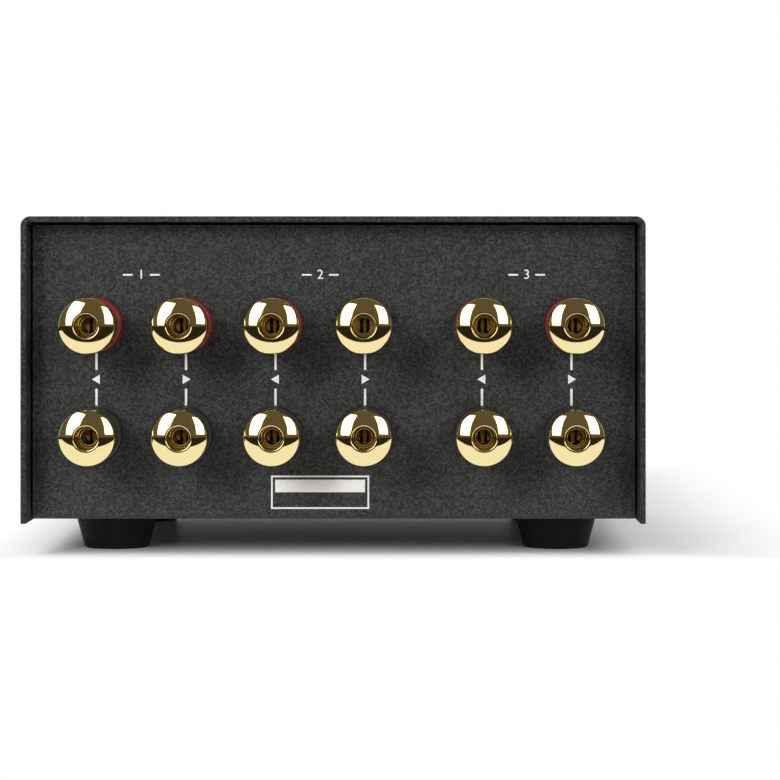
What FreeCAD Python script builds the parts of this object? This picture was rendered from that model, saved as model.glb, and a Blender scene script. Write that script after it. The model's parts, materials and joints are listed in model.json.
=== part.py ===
import FreeCAD, Part
import math
import os
import re
import Sketcher

# Speaker selector switch: two amplifier inputs, one speaker output, twelve binding posts.
# Millimetres. +Z is up, the terminal panel faces -Y and the knob faces +Y.
# The origin is on the table, under the middle of the outline.

# Driving dimensions: name, size, meaning.
SIZES = (
    ("case_width", 165.0, "cover, outside"),
    ("cover_height", 81.2, "cover, lower edge to top"),
    ("cover_length", 150.0, "cover, rear edge to front plate"),
    ("cover_sheet", 1.5, "cover, thickness"),
    ("cover_corner", 2.6, "cover, outside radius of its bends"),
    ("cover_drop", 0.5, "cover, lower edge below the tray"),
    ("panel_recess", 9.0, "cover past the terminal panel"),
    ("panel_gap", 0.6, "slit between the tray and the cover"),
    ("tray_sheet", 1.5, "tray, thickness"),
    ("bend_inside", 0.8, "tray, inside radius of its bends"),
    ("lip_height", 16.0, "side lips of the tray"),
    ("lip_inset", 6.0, "side lips, short of the panels"),
    ("front_plate", 6.0, "front plate, thickness"),
    ("plate_bevel", 0.8, "front plate, bevel of the face"),
    ("foot_height", 9.5, "foot, table to tray"),
    ("foot_top_width", 22.8, "foot, at the tray"),
    ("foot_base_width", 17.6, "foot, at the table"),
    ("foot_round", 0.8, "foot, round of the base"),
    ("foot_side_inset", 22.0, "feet, in from the cover's sides"),
    ("foot_inset", 25.0, "feet, in from the panel and the front"),
    ("foot_recess_width", 9.5, "foot, recess for the screw head"),
    ("foot_recess_depth", 4.5, "foot, depth of that recess"),
    ("foot_thread", 4.0, "foot screw, thread"),
    ("foot_screw_length", 12.0, "foot screw, under its head"),
    ("foot_head_width", 7.6, "foot screw, head"),
    ("foot_head_height", 2.6, "foot screw, head"),
    ("foot_nut_flats", 7.0, "foot nut, across flats"),
    ("foot_nut_height", 3.2, "foot nut"),
    ("screw_thread", 3.0, "case screws, thread"),
    ("screw_length", 6.0, "case screws, under the head"),
    ("screw_head_width", 5.6, "case screws, head"),
    ("screw_head_height", 2.0, "case screws, head"),
    ("screw_slack", 0.2, "hole round a screw, each side"),
    ("screw_bottom_gap", 0.5, "blind hole past a screw's end"),
    ("drive_width", 1.6, "cross slot of a screw head"),
    ("drive_depth", 0.9, "cross slot of a screw head, depth"),
    ("side_screw_inset", 22.0, "side screws, in from panel and front"),
    ("side_screw_rise", 9.0, "side screws, above the tray's underside"),
    ("front_screw_side", 14.5, "front plate screws, in from the cover's sides"),
    ("front_screw_end", 12.6, "front plate screws, in from the cover's top and lower edge"),
    ("post_pitch", 23.9, "posts, column to column"),
    ("group_gap", 31.2, "posts, inputs to output"),
    ("row_gap", 29.0, "posts, row to row"),
    ("lower_row_rise", 22.9, "lower row above the tray's underside"),
    ("post_thread", 6.0, "stem, thread"),
    ("thread_gap", 0.1, "round the stem's thread, each side"),
    ("stem_reach", 18.0, "stem, end past the panel"),
    ("stem_tail", 12.0, "stem, end behind the panel's face"),
    ("socket_width", 4.1, "plug socket in the stem"),
    ("socket_depth", 14.0, "plug socket, depth"),
    ("socket_tip", 1.2, "drill point of the socket"),
    ("wire_hole", 2.6, "cross hole for bare wire"),
    ("wire_hole_gap", 0.5, "cross hole past the clamp washer"),
    ("flange_width", 12.5, "stem flange"),
    ("flange_height", 1.5, "stem flange"),
    ("collar_width", 14.5, "coloured collar"),
    ("collar_reach", 7.2, "coloured collar past the panel"),
    ("collar_bevel", 0.5, "coloured collar, front edge"),
    ("boss_width", 9.0, "collar, boss in the panel's hole"),
    ("boss_depth", 1.4, "collar, boss in the panel's hole"),
    ("boss_gap", 0.1, "round the boss, each side"),
    ("clamp_width", 13.0, "clamp washer under the cap"),
    ("clamp_height", 1.2, "clamp washer under the cap"),
    ("cap_width", 14.5, "cap, widest"),
    ("cap_reach", 25.4, "cap, end past the panel"),
    ("cap_dome", 2.4, "cap, rise of the dome from its rim to its bore"),
    ("cap_rim", 0.5, "cap, round of the dome's rim"),
    ("cap_head", 6.0, "cap, head with the dome"),
    ("cap_neck_width", 12.0, "cap, neck behind the head"),
    ("cap_neck_length", 0.8, "cap, neck behind the head"),
    ("cap_grip_width", 13.3, "cap, fluted grip"),
    ("insulator_width", 13.0, "inner insulator"),
    ("insulator_height", 2.0, "inner insulator"),
    ("post_washer_width", 12.0, "flat washer inside"),
    ("post_washer_height", 1.0, "flat washer inside"),
    ("lug_width", 11.5, "solder lug, ring"),
    ("lug_height", 0.8, "solder lug, thickness"),
    ("lug_reach", 13.0, "solder lug, axis to tip"),
    ("lug_tab_width", 5.0, "solder lug, tab"),
    ("lug_eye", 1.6, "solder lug, eye"),
    ("eye_inset", 2.5, "eyes, in from the tip"),
    ("post_nut_flats", 10.0, "post nut, across flats"),
    ("post_nut_height", 3.2, "post nut"),
    ("knob_width", 38.0, "knob"),
    ("knob_depth", 18.0, "knob"),
    ("knob_gap", 1.0, "knob to front plate"),
    ("knob_bevel", 1.2, "knob, bevel of the face"),
    ("knob_bore_depth", 12.5, "knob, bore for the shaft"),
    ("knob_wall", 2.5, "knob, wall of the skirt"),
    ("knob_hollow", 9.0, "knob, depth behind the face"),
    ("hub_width", 14.0, "knob, hub round the shaft"),
    ("pointer_width", 1.6, "pointer groove"),
    ("pointer_depth", 0.8, "pointer groove"),
    ("pointer_length", 11.0, "pointer groove, in from the rim"),
    ("set_screw_width", 3.0, "knob set screw"),
    ("set_screw_length", 4.5, "knob set screw"),
    ("set_screw_rise", 4.5, "knob set screw, from the knob's back"),
    ("key_width", 1.5, "knob set screw, hexagon across flats"),
    ("key_depth", 2.0, "knob set screw, hexagon"),
    ("shaft_width", 6.0, "shaft"),
    ("shaft_gap", 0.05, "round the shaft, each side"),
    ("shaft_in_knob", 12.0, "shaft, length in the knob"),
    ("shaft_tail", 5.0, "shaft, past the rear wafer"),
    ("shaft_flat", 1.0, "flats on the shaft, depth"),
    ("bushing_width", 9.0, "threaded bushing"),
    ("bushing_reach", 6.0, "threaded bushing past the housing"),
    ("bushing_washer_width", 14.0, "washer on the bushing"),
    ("bushing_washer_height", 0.8, "washer on the bushing"),
    ("bushing_nut_flats", 12.0, "nut on the bushing, across flats"),
    ("bushing_nut_height", 2.5, "nut on the bushing"),
    ("nut_room_width", 16.5, "hole in the front plate round that nut"),
    ("housing_width", 40.0, "switch housing, square"),
    ("housing_corner", 6.0, "switch housing, corners"),
    ("housing_depth", 10.0, "switch housing"),
    ("housing_face", 1.5, "switch housing, wall at the bushing"),
    ("housing_cover_height", 1.0, "housing cover"),
    ("detent_width", 20.0, "detent wheel"),
    ("detent_height", 6.0, "detent wheel"),
    ("detent_end_gap", 0.5, "detent wheel, each end"),
    ("detent_room_gap", 0.6, "housing round the detent wheel"),
    ("notch_width", 4.4, "detent notches"),
    ("notch_depth", 0.9, "detent notches"),
    ("step_angle", 30.0, "knob, position to position"),
    ("ball_width", 4.0, "detent balls"),
    ("ball_lift", 0.3, "detent balls, off the wheel"),
    ("channel_gap", 0.1, "round the balls, each side"),
    ("channel_end", 18.0, "ball channels, from the axis"),
    ("spring_width", 3.6, "detent springs"),
    ("spring_wire", 0.5, "detent springs, wire"),
    ("spring_pitch", 1.05, "detent springs"),
    ("spring_turns", 3.0, "detent springs"),
    ("wafer_width", 44.0, "wafer stators"),
    ("wafer_height", 1.6, "wafer stators"),
    ("rotor_width", 20.0, "wafer rotors"),
    ("rotor_height", 1.0, "wafer rotors"),
    ("rotor_gap", 0.2, "round the rotors, each side"),
    ("front_spacer", 12.0, "housing cover to front wafer"),
    ("rear_spacer", 18.4, "wafer to wafer"),
    ("spacer_width", 5.0, "spacers"),
    ("tie_width", 3.0, "tie screws"),
    ("tie_spread", 34.0, "tie screws, left to right"),
    ("tie_hold", 7.0, "tie screws, length in the housing"),
    ("blade_height", 0.4, "contact blades"),
    ("blade_inside", 10.0, "contact blades, inner edge"),
    ("blade_outside", 14.8, "contact blades, outer edge of the ring"),
    ("blade_nose", 19.2, "contact blades, end of the nose"),
    ("blade_angle", 170.0, "contact blades, ring"),
    ("nose_angle", 16.0, "contact blades, nose"),
    ("clip_width", 3.0, "terminals"),
    ("clip_height", 0.8, "terminals"),
    ("clip_overhang", 5.0, "terminals, past the wafer's rim"),
    ("common_start", 6.2, "common terminals, from the axis"),
    ("throw_start", 8.4, "throw terminals, from the axis"),
    ("nose_rest", 80.0, "nose in the middle position"),
    ("common_angle", 140.0, "common terminal"),
    ("wire_width", 2.0, "insulated wires"),
    ("wire_lead", 20.0, "wires, first run from the lug"),
    ("wire_end", 16.0, "wires to the rear wafer, last run"),
    ("lane_gap", 9.5, "wires that pass the rear wafer, from its rim to their middle"),
    ("lane_length", 18.0, "their run before the rear wafer"),
    ("lane_end", 7.3, "their last run"),
    ("over_depth", 64.3, "red wire 1, its high point behind the panel"),
    ("over_gap", 3.7, "its middle below the cover's sheet"),
    ("over_step", 4.0, "red wire 2, high point nearer the panel"),
    ("over_side", 8.0, "red wire 2, high point to the right"),
    ("inner_depth", 50.3, "red wires 5 and 6, corner behind the panel"),
    ("inner_side", 10.0, "red wire 5, corner right of the axis"),
    ("inner_rise", 8.4, "red wire 5, corner above the axis"),
    ("inner_step", 10.0, "red wire 6, corner further right"),
    ("inner_lift", 8.0, "red wire 6, corner further up"),
)

doc = FreeCAD.newDocument("speaker_selector_switch")
sheet = doc.addObject("Spreadsheet::Sheet", "Sizes")
for row, (alias, size, meaning) in enumerate(SIZES, start=1):
    sheet.set("A%d" % row, alias)
    sheet.set("B%d" % row, repr(size))
    sheet.set("C%d" % row, meaning)
    sheet.setAlias("B%d" % row, alias)
doc.recompute()

ALIAS = re.compile(r"\b(" + "|".join(alias for alias, size, meaning in SIZES) + r")\b")
PLANE_NORMAL = {"XY_Plane": 1, "YZ_Plane": 1, "XZ_Plane": -1}
NEAR = 0.001

# Places that follow from the sizes.
OVERALL_LENGTH = "(cap_reach + cover_length - panel_recess + front_plate + knob_gap + knob_depth)"
PANEL_Y = f"(cap_reach - {OVERALL_LENGTH} / 2)"
FRONT_Y = f"({PANEL_Y} + cover_length - panel_recess)"
SWITCH_Y = f"({FRONT_Y} - tray_sheet)"
COVER_Z = "(foot_height - cover_drop)"
TOP_Z = f"({COVER_Z} + cover_height)"
PANEL_TOP_Z = f"({TOP_Z} - cover_sheet - panel_gap)"
PANEL_WIDTH = "(case_width - 2 * cover_sheet - 2 * panel_gap)"
KNOB_Z = f"({COVER_Z} + cover_height / 2)"
LOWER_ROW_Z = "(foot_height + lower_row_rise)"
UPPER_ROW_Z = f"({LOWER_ROW_Z} + row_gap)"
REAR_FOOT_Y = f"({PANEL_Y} + foot_inset)"
FRONT_FOOT_Y = f"({FRONT_Y} - foot_inset)"
REAR_SCREW_Y = f"({PANEL_Y} + side_screw_inset)"
FRONT_SCREW_Y = f"({FRONT_Y} - side_screw_inset)"
SIDE_SCREW_Z = "(foot_height + side_screw_rise)"
FOOT_X = "(case_width / 2 - foot_side_inset)"
FRONT_SCREW_X = "(case_width / 2 - front_screw_side)"
FRONT_SCREW_LOW = f"({COVER_Z} + front_screw_end)"
FRONT_SCREW_HIGH = f"({TOP_Z} - front_screw_end)"
POST_SPAN = "(4 * post_pitch + group_gap)"
COLUMNS = (
    f"(0 - {POST_SPAN} / 2)",
    f"(post_pitch - {POST_SPAN} / 2)",
    f"(2 * post_pitch - {POST_SPAN} / 2)",
    f"(3 * post_pitch - {POST_SPAN} / 2)",
    f"({POST_SPAN} / 2 - post_pitch)",
    f"({POST_SPAN} / 2)",
)

# Heights along a post, from the panel's outer face outwards.
POST_BORE = "(post_thread / 2 + thread_gap)"
FLANGE_TOP = "(collar_reach + flange_height)"
CAP_BACK = f"({FLANGE_TOP} + clamp_height)"
INSULATOR_BACK = "(0 - tray_sheet - insulator_height)"
WASHER_BACK = f"({INSULATOR_BACK} - post_washer_height)"
LUG_BACK = f"({WASHER_BACK} - lug_height)"
POST_NUT_BACK = f"({LUG_BACK} - post_nut_height)"

# Heights along the selector's shaft, from the inside of the front sub-panel forwards.
KNOB_BACK = "(tray_sheet + front_plate + knob_gap)"
KNOB_FACE = f"({KNOB_BACK} + knob_depth)"
SHAFT_BORE = "(shaft_width / 2 + shaft_gap)"
SHAFT_END = f"({KNOB_BACK} + shaft_in_knob)"
HOUSING_BACK = "(0 - housing_depth)"
DETENT_FRONT = "(0 - housing_face - detent_end_gap)"
DETENT_MIDDLE = f"({DETENT_FRONT} - detent_height / 2)"
COVER_BACK = f"({HOUSING_BACK} - housing_cover_height)"
FRONT_WAFER = f"({COVER_BACK} - front_spacer - wafer_height)"
REAR_WAFER = f"({FRONT_WAFER} - rear_spacer - wafer_height)"
SHAFT_TAIL = f"({REAR_WAFER} - shaft_tail)"
BALL_PLACE = "(detent_width / 2 + ball_lift + ball_width / 2)"
CLIP_TIP = "(wafer_width / 2 + clip_overhang)"
CLIP_EYE = f"({CLIP_TIP} - eye_inset)"

nodes = []
cuts = []


def formula(text):
    """The expression with each size's name pointed at the sheet."""
    return ALIAS.sub(r"Sizes.\1", text)


def value(text):
    """What an expression comes to now, in millimetres or degrees."""
    return float(sheet.evalExpression(formula(text)))


def bind(item, path, text):
    """Tie one property of an object to an expression."""
    item.setExpression(path, formula(text))


def place(item, x, y, z, turn=FreeCAD.Rotation()):
    """Put an object at a place that follows the sheet."""
    item.Placement = FreeCAD.Placement(FreeCAD.Vector(value(x), value(y), value(z)), turn)
    bind(item, "Placement.Base.x", x)
    bind(item, "Placement.Base.y", y)
    bind(item, "Placement.Base.z", z)
    return item


def node(item, label=None):
    """Keep an object as a sub-part of the assembly."""
    if label:
        item.Label = label
    nodes.append(item)
    return item


def group(label, members):
    """Identical solids kept together as one sub-part."""
    whole = doc.addObject("Part::Compound", label)
    whole.Links = members
    return node(whole)


def copy_of(master, label, x, y, z, turn):
    """One placed copy of a piece that is drawn once."""
    piece = doc.addObject("Part::Compound", label)
    piece.Links = [master]
    return place(piece, x, y, z, turn)


def sketch_on(body, label, role, height):
    """Empty sketch, parallel to an origin plane and at a height along its world axis."""
    plane = next(item for item in body.Origin.OriginFeatures if item.Role == role)
    sketch = body.newObject("Sketcher::SketchObject", label)
    sketch.AttachmentSupport = [(plane, "")]
    sketch.MapMode = "FlatFace"
    bind(sketch, "AttachmentOffset.Base.z", f"{PLANE_NORMAL[role]} * {height}")
    return sketch


def tie(sketch, kind, index, point, text):
    """Hold one point of a sketch at a distance from the sketch's origin."""
    number = sketch.addConstraint(Sketcher.Constraint(kind, -1, 1, index, point, value(text)))
    bind(sketch, "Constraints[%d]" % number, text)


def arc_on_axis(start, end):
    """Arc between two points, anticlockwise, with its centre on the sketch's vertical axis."""
    height = (start.x ** 2 + start.y ** 2 - end.x ** 2 - end.y ** 2) / (start.y - end.y) / 2
    centre = FreeCAD.Vector(0, height, 0)
    circle = Part.Circle(centre, FreeCAD.Vector(0, 0, 1), start.distanceToPoint(centre))
    first, last = start - centre, end - centre
    return Part.ArcOfCircle(circle, math.atan2(first.y, first.x), math.atan2(last.y, last.x))


def outline(sketch, corners, dome=None):
    """Closed outline through corners given as pairs of expressions.

    Its sides are straight, except that the one which starts at the corner numbered dome
    is an arc centred on the sketch's vertical axis.
    """
    points = [FreeCAD.Vector(value(u), value(v), 0) for u, v in corners]
    first = sketch.GeometryCount
    count = len(points)
    for index in range(count):
        start, end = points[index], points[(index + 1) % count]
        side = arc_on_axis(start, end) if index == dome else Part.LineSegment(start, end)
        sketch.addGeometry(side, False)
    for index in range(count):
        after = first + (index + 1) % count
        sketch.addConstraint(Sketcher.Constraint("Coincident", first + index, 2, after, 1))
    for index, (u, v) in enumerate(corners):
        tie(sketch, "DistanceX", first + index, 1, u)
        tie(sketch, "DistanceY", first + index, 1, v)
    if dome is not None:
        sketch.addConstraint(Sketcher.Constraint("PointOnObject", first + dome, 3, -2))
    return sketch


def rectangle(sketch, left, right, low, high):
    """Closed rectangle between four expressions."""
    return outline(sketch, ((left, low), (right, low), (right, high), (left, high)))


def hexagon(sketch, flats):
    """Hexagon about the sketch's origin, from its width across flats."""
    corner = f"{flats} / 2 / cos(30)"
    angles = range(0, 360, 60)
    return outline(sketch, [(f"{corner} * cos({a})", f"{corner} * sin({a})") for a in angles])


def circles(sketch, centres, width):
    """Circles of one width at centres given as pairs of expressions."""
    for u, v in centres:
        middle = FreeCAD.Vector(value(u), value(v), 0)
        circle = Part.Circle(middle, FreeCAD.Vector(0, 0, 1), value(width) / 2)
        index = sketch.addGeometry(circle, False)
        tie(sketch, "DistanceX", index, 3, u)
        tie(sketch, "DistanceY", index, 3, v)
        number = sketch.addConstraint(Sketcher.Constraint("Diameter", index, value(width)))
        bind(sketch, "Constraints[%d]" % number, width)
    return sketch


def pad(body, sketch, length, both_ways=False):
    """Raise a sketch along its normal, or half each way."""
    feature = body.newObject("PartDesign::Pad", sketch.Label + "_pad")
    feature.Profile = sketch
    if both_ways:
        feature.SideType = "Symmetric"
    bind(feature, "Length", length)
    return feature


def pocket(body, sketch, length=None, both_ways=False):
    """Cut a sketch against its normal, to a depth or right through."""
    feature = body.newObject("PartDesign::Pocket", sketch.Label + "_pocket")
    feature.Profile = sketch
    if both_ways:
        feature.SideType = "Symmetric"
    if length:
        bind(feature, "Length", length)
    else:
        feature.Type = "ThroughAll"
    cuts.append(feature)
    return feature


def turned(label, corners, dome=None):
    """Piece of revolution about local Z, from its half section in radius and height."""
    body = doc.addObject("PartDesign::Body", label)
    section = outline(sketch_on(body, label + "_section", "XZ_Plane", "0"), corners, dome)
    feature = body.newObject("PartDesign::Revolution", label + "_turned")
    feature.Profile = section
    feature.ReferenceAxis = (section, ["V_Axis"])
    feature.Angle = 360
    return body


def edges_at(feature, **limits):
    """Names of the edges whose box has these limits, such as XMin=2.0."""
    doc.recompute()
    found = []
    for index, edge in enumerate(feature.Shape.Edges, start=1):
        box = edge.BoundBox
        if all(abs(getattr(box, side) - limit) < NEAR for side, limit in limits.items()):
            found.append("Edge%d" % index)
    if not found:
        raise ValueError("no edge of %s at %s" % (feature.Label, limits))
    return found


def soften(body, kind, label, radius, *places):
    """Fillet or chamfer on the edges of the body's last feature at the given places."""
    base = body.Tip
    names = []
    for limits in places:
        names += edges_at(base, **limits)
    feature = body.newObject("PartDesign::" + kind, label)
    feature.Base = (base, names)
    bind(feature, "Radius" if kind == "Fillet" else "Size", radius)
    return feature


OUTWARD = FreeCAD.Rotation(FreeCAD.Vector(1, 0, 0), 90)
OUTWARD_DOWN = OUTWARD.multiply(FreeCAD.Rotation(FreeCAD.Vector(0, 0, 1), 180))
FORWARD = FreeCAD.Rotation(FreeCAD.Vector(1, 0, 0), -90)
UPRIGHT = FreeCAD.Rotation()
TO_RIGHT = FreeCAD.Rotation(FreeCAD.Vector(0, 1, 0), 90)
TO_LEFT = FreeCAD.Rotation(FreeCAD.Vector(0, 1, 0), -90)


def on_switch(item):
    """Place a piece of the selector on the knob's axis."""
    return place(item, "0", SWITCH_Y, KNOB_Z, FORWARD)


def mirrored_pairs(x, z_low, z_high):
    """Four centres, left and right of the middle and at two heights."""
    return [(f"{side} * {x}", z) for side in (-1, 1) for z in (z_low, z_high)]


# Case

def base_tray():
    body = doc.addObject("PartDesign::Body", "base_tray")
    inner_panel = f"({PANEL_Y} + tray_sheet)"
    floor = "(foot_height + tray_sheet)"
    section = outline(sketch_on(body, "tray_section", "YZ_Plane", "0"), (
        (PANEL_Y, "foot_height"),
        (FRONT_Y, "foot_height"),
        (FRONT_Y, PANEL_TOP_Z),
        (SWITCH_Y, PANEL_TOP_Z),
        (SWITCH_Y, floor),
        (inner_panel, floor),
        (inner_panel, PANEL_TOP_Z),
        (PANEL_Y, PANEL_TOP_Z),
    ))
    pad(body, section, PANEL_WIDTH, both_ways=True)
    under = value("foot_height")
    rear, front = value(PANEL_Y), value(FRONT_Y)
    soften(body, "Fillet", "tray_outer_bends", "bend_inside + tray_sheet",
           dict(YMin=rear, YMax=rear, ZMin=under, ZMax=under),
           dict(YMin=front, YMax=front, ZMin=under, ZMax=under))
    top = value(floor)
    rear, front = value(inner_panel), value(SWITCH_Y)
    soften(body, "Fillet", "tray_inner_bends", "bend_inside",
           dict(YMin=rear, YMax=rear, ZMin=top, ZMax=top),
           dict(YMin=front, YMax=front, ZMin=top, ZMax=top))

    lips = sketch_on(body, "tray_lips", "XY_Plane", "foot_height")
    for side in (-1, 1):
        outer = f"{side} * {PANEL_WIDTH} / 2"
        inner = f"{side} * ({PANEL_WIDTH} / 2 - tray_sheet)"
        left, right = (outer, inner) if side < 0 else (inner, outer)
        rectangle(lips, left, right, f"{PANEL_Y} + lip_inset", f"{FRONT_Y} - lip_inset")
    pad(body, lips, "lip_height")

    holes = sketch_on(body, "post_holes", "XZ_Plane", PANEL_Y)
    centres = [(x, z) for x in COLUMNS for z in (LOWER_ROW_Z, UPPER_ROW_Z)]
    pocket(body, circles(holes, centres, "boss_width + 2 * boss_gap"), "2 * tray_sheet")
    holes = sketch_on(body, "bushing_hole", "XZ_Plane", SWITCH_Y)
    pocket(body, circles(holes, [("0", KNOB_Z)], "bushing_width + 2 * screw_slack"), "2 * tray_sheet")
    holes = sketch_on(body, "front_screw_holes", "XZ_Plane", SWITCH_Y)
    centres = mirrored_pairs(FRONT_SCREW_X, FRONT_SCREW_LOW, FRONT_SCREW_HIGH)
    pocket(body, circles(holes, centres, "screw_thread + 2 * screw_slack"), "2 * tray_sheet")
    holes = sketch_on(body, "foot_screw_holes", "XY_Plane", floor)
    centres = mirrored_pairs(FOOT_X, REAR_FOOT_Y, FRONT_FOOT_Y)
    pocket(body, circles(holes, centres, "foot_thread + 2 * screw_slack"), "2 * tray_sheet")
    holes = sketch_on(body, "side_screw_holes", "YZ_Plane", "case_width / 2")
    centres = [(REAR_SCREW_Y, SIDE_SCREW_Z), (FRONT_SCREW_Y, SIDE_SCREW_Z)]
    pocket(body, circles(holes, centres, "screw_thread + 2 * thread_gap"))
    return node(body)


def top_cover():
    body = doc.addObject("PartDesign::Body", "top_cover")
    side = "case_width / 2"
    inside = "(case_width / 2 - cover_sheet)"
    under_top = f"({TOP_Z} - cover_sheet)"
    section = outline(sketch_on(body, "cover_section", "XZ_Plane", FRONT_Y), (
        (f"0 - {side}", COVER_Z),
        (f"0 - {inside}", COVER_Z),
        (f"0 - {inside}", under_top),
        (inside, under_top),
        (inside, COVER_Z),
        (side, COVER_Z),
        (side, TOP_Z),
        (f"0 - {side}", TOP_Z),
    ))
    pad(body, section, "cover_length")
    x, z = value(side), value(TOP_Z)
    soften(body, "Fillet", "cover_outer_bends", "cover_corner",
           dict(XMin=x, XMax=x, ZMin=z, ZMax=z), dict(XMin=-x, XMax=-x, ZMin=z, ZMax=z))
    x, z = value(inside), value(under_top)
    soften(body, "Fillet", "cover_inner_bends", "cover_corner - cover_sheet",
           dict(XMin=x, XMax=x, ZMin=z, ZMax=z), dict(XMin=-x, XMax=-x, ZMin=z, ZMax=z))
    holes = sketch_on(body, "cover_screw_holes", "YZ_Plane", "case_width / 2")
    centres = [(REAR_SCREW_Y, SIDE_SCREW_Z), (FRONT_SCREW_Y, SIDE_SCREW_Z)]
    pocket(body, circles(holes, centres, "screw_thread + 2 * screw_slack"))
    return node(body)


def front_panel():
    body = doc.addObject("PartDesign::Body", "front_panel")
    face = f"({FRONT_Y} + front_plate)"
    plate = sketch_on(body, "plate_outline", "XZ_Plane", face)
    pad(body, rectangle(plate, "0 - case_width / 2", "case_width / 2", COVER_Z, TOP_Z), "front_plate")
    x, z = value("case_width / 2"), value(TOP_Z)
    soften(body, "Fillet", "plate_corners", "cover_corner",
           dict(XMin=x, XMax=x, ZMin=z, ZMax=z), dict(XMin=-x, XMax=-x, ZMin=z, ZMax=z))
    y = value(face)
    soften(body, "Chamfer", "plate_face_bevel", "plate_bevel", dict(YMin=y, YMax=y))
    hole = sketch_on(body, "nut_room", "XZ_Plane", FRONT_Y)
    pocket(body, circles(hole, [("0", KNOB_Z)], "nut_room_width"), "2 * front_plate")
    holes = sketch_on(body, "plate_screw_holes", "XZ_Plane", FRONT_Y)
    centres = mirrored_pairs(FRONT_SCREW_X, FRONT_SCREW_LOW, FRONT_SCREW_HIGH)
    pocket(body, circles(holes, centres, "screw_thread + 2 * thread_gap"),
           "screw_length - tray_sheet + screw_bottom_gap")
    return node(body)


def feet():
    hole = "(foot_thread / 2 + screw_slack)"
    recess = "foot_recess_width / 2"
    master = turned("foot", (
        (hole, "foot_recess_depth"),
        (recess, "foot_recess_depth"),
        (recess, "0"),
        ("foot_base_width / 2", "0"),
        ("foot_top_width / 2", "foot_height"),
        (hole, "foot_height"),
    ))
    reach = value("foot_base_width / 2")
    soften(master, "Fillet", "foot_base_round", "foot_round", dict(XMax=reach, ZMin=0, ZMax=0))
    for end, y in (("rear", REAR_FOOT_Y), ("front", FRONT_FOOT_Y)):
        for side, sign in (("left", -1), ("right", 1)):
            label = "foot_%s_%s" % (end, side)
            node(copy_of(master, label, f"{sign} * {FOOT_X}", y, "0", UPRIGHT))


def screw(label, thread, length, head_width, head_height):
    """Pan head screw with a cross slot, its head's seat at local zero and its shank up local Z."""
    body = turned(label, (
        ("0", f"0 - {head_height}"),
        (f"{head_width} / 2", f"0 - {head_height}"),
        (f"{head_width} / 2", "0"),
        (f"{thread} / 2", "0"),
        (f"{thread} / 2", length),
        ("0", length),
    ))
    low, reach = value(f"0 - {head_height}"), value(f"{head_width} / 2")
    soften(body, "Fillet", label + "_head_round", f"{head_height} * 0.6",
           dict(XMax=reach, ZMin=low, ZMax=low))
    arm = f"{head_width} * 0.3"
    for u, v in ((arm, "drive_width / 4"), ("drive_width / 4", arm)):
        slot = sketch_on(body, label + "_slot", "XY_Plane", f"(drive_depth - {head_height})")
        rectangle(slot, f"0 - {u}", u, f"0 - {v}", v)
        pocket(body, slot, "2 * drive_depth")
    return body


def hex_nut(label, flats, height, thread):
    """Hexagon nut standing on local zero, with a plain hole."""
    body = doc.addObject("PartDesign::Body", label)
    pad(body, hexagon(sketch_on(body, label + "_hexagon", "XY_Plane", "0"), flats), height)
    hole = sketch_on(body, label + "_hole", "XY_Plane", height)
    pocket(body, circles(hole, [("0", "0")], f"{thread} + 2 * thread_gap"))
    return body


def case_fasteners():
    foot_screw = screw("foot_screw", "foot_thread", "foot_screw_length", "foot_head_width",
                       "foot_head_height")
    foot_nut = hex_nut("foot_nut", "foot_nut_flats", "foot_nut_height", "foot_thread")
    places = mirrored_pairs(FOOT_X, REAR_FOOT_Y, FRONT_FOOT_Y)
    group("foot_screws", [
        copy_of(foot_screw, "foot_screw_%d" % number, x, y, "foot_recess_depth", UPRIGHT)
        for number, (x, y) in enumerate(places, start=1)])
    group("foot_nuts", [
        copy_of(foot_nut, "foot_nut_%d" % number, x, y, "foot_height + tray_sheet", UPRIGHT)
        for number, (x, y) in enumerate(places, start=1)])

    case_screw = screw("case_screw", "screw_thread", "screw_length", "screw_head_width",
                       "screw_head_height")
    group("cover_screws", [
        copy_of(case_screw, "cover_screw_%s_%s" % (side, end), x, y, SIDE_SCREW_Z, turn)
        for side, x, turn in (("left", "0 - case_width / 2", TO_RIGHT),
                              ("right", "case_width / 2", TO_LEFT))
        for end, y in (("rear", REAR_SCREW_Y), ("front", FRONT_SCREW_Y))])
    places = mirrored_pairs(FRONT_SCREW_X, FRONT_SCREW_LOW, FRONT_SCREW_HIGH)
    group("front_panel_screws", [
        copy_of(case_screw, "front_panel_screw_%d" % number, x, SWITCH_Y, z, FORWARD)
        for number, (x, z) in enumerate(places, start=1)])


# Binding posts, each drawn with its axis on local Z and the panel's outer face at zero

def post_stem():
    thread = "post_thread / 2"
    body = turned("binding_post_stem", (
        ("0", "0 - stem_tail"),
        (thread, "0 - stem_tail"),
        (thread, "collar_reach"),
        ("flange_width / 2", "collar_reach"),
        ("flange_width / 2", FLANGE_TOP),
        (thread, FLANGE_TOP),
        (thread, "stem_reach"),
        ("socket_width / 2", "stem_reach"),
        ("socket_width / 2", "stem_reach - socket_depth"),
        ("0", "stem_reach - socket_depth - socket_tip"),
    ))
    hole = sketch_on(body, "stem_wire_hole", "XZ_Plane", "0")
    height = f"{CAP_BACK} + wire_hole_gap + wire_hole / 2"
    pocket(body, circles(hole, [("0", height)], "wire_hole"), "2 * post_thread", both_ways=True)
    return body


def post_collar():
    body = turned("collar", (
        (POST_BORE, "0 - boss_depth"),
        ("boss_width / 2", "0 - boss_depth"),
        ("boss_width / 2", "0"),
        ("collar_width / 2", "0"),
        ("collar_width / 2", "collar_reach"),
        (POST_BORE, "collar_reach"),
    ))
    height, reach = value("collar_reach"), value("collar_width / 2")
    soften(body, "Chamfer", "collar_edge", "collar_bevel",
           dict(XMax=reach, ZMin=height, ZMax=height))
    return body


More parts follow.
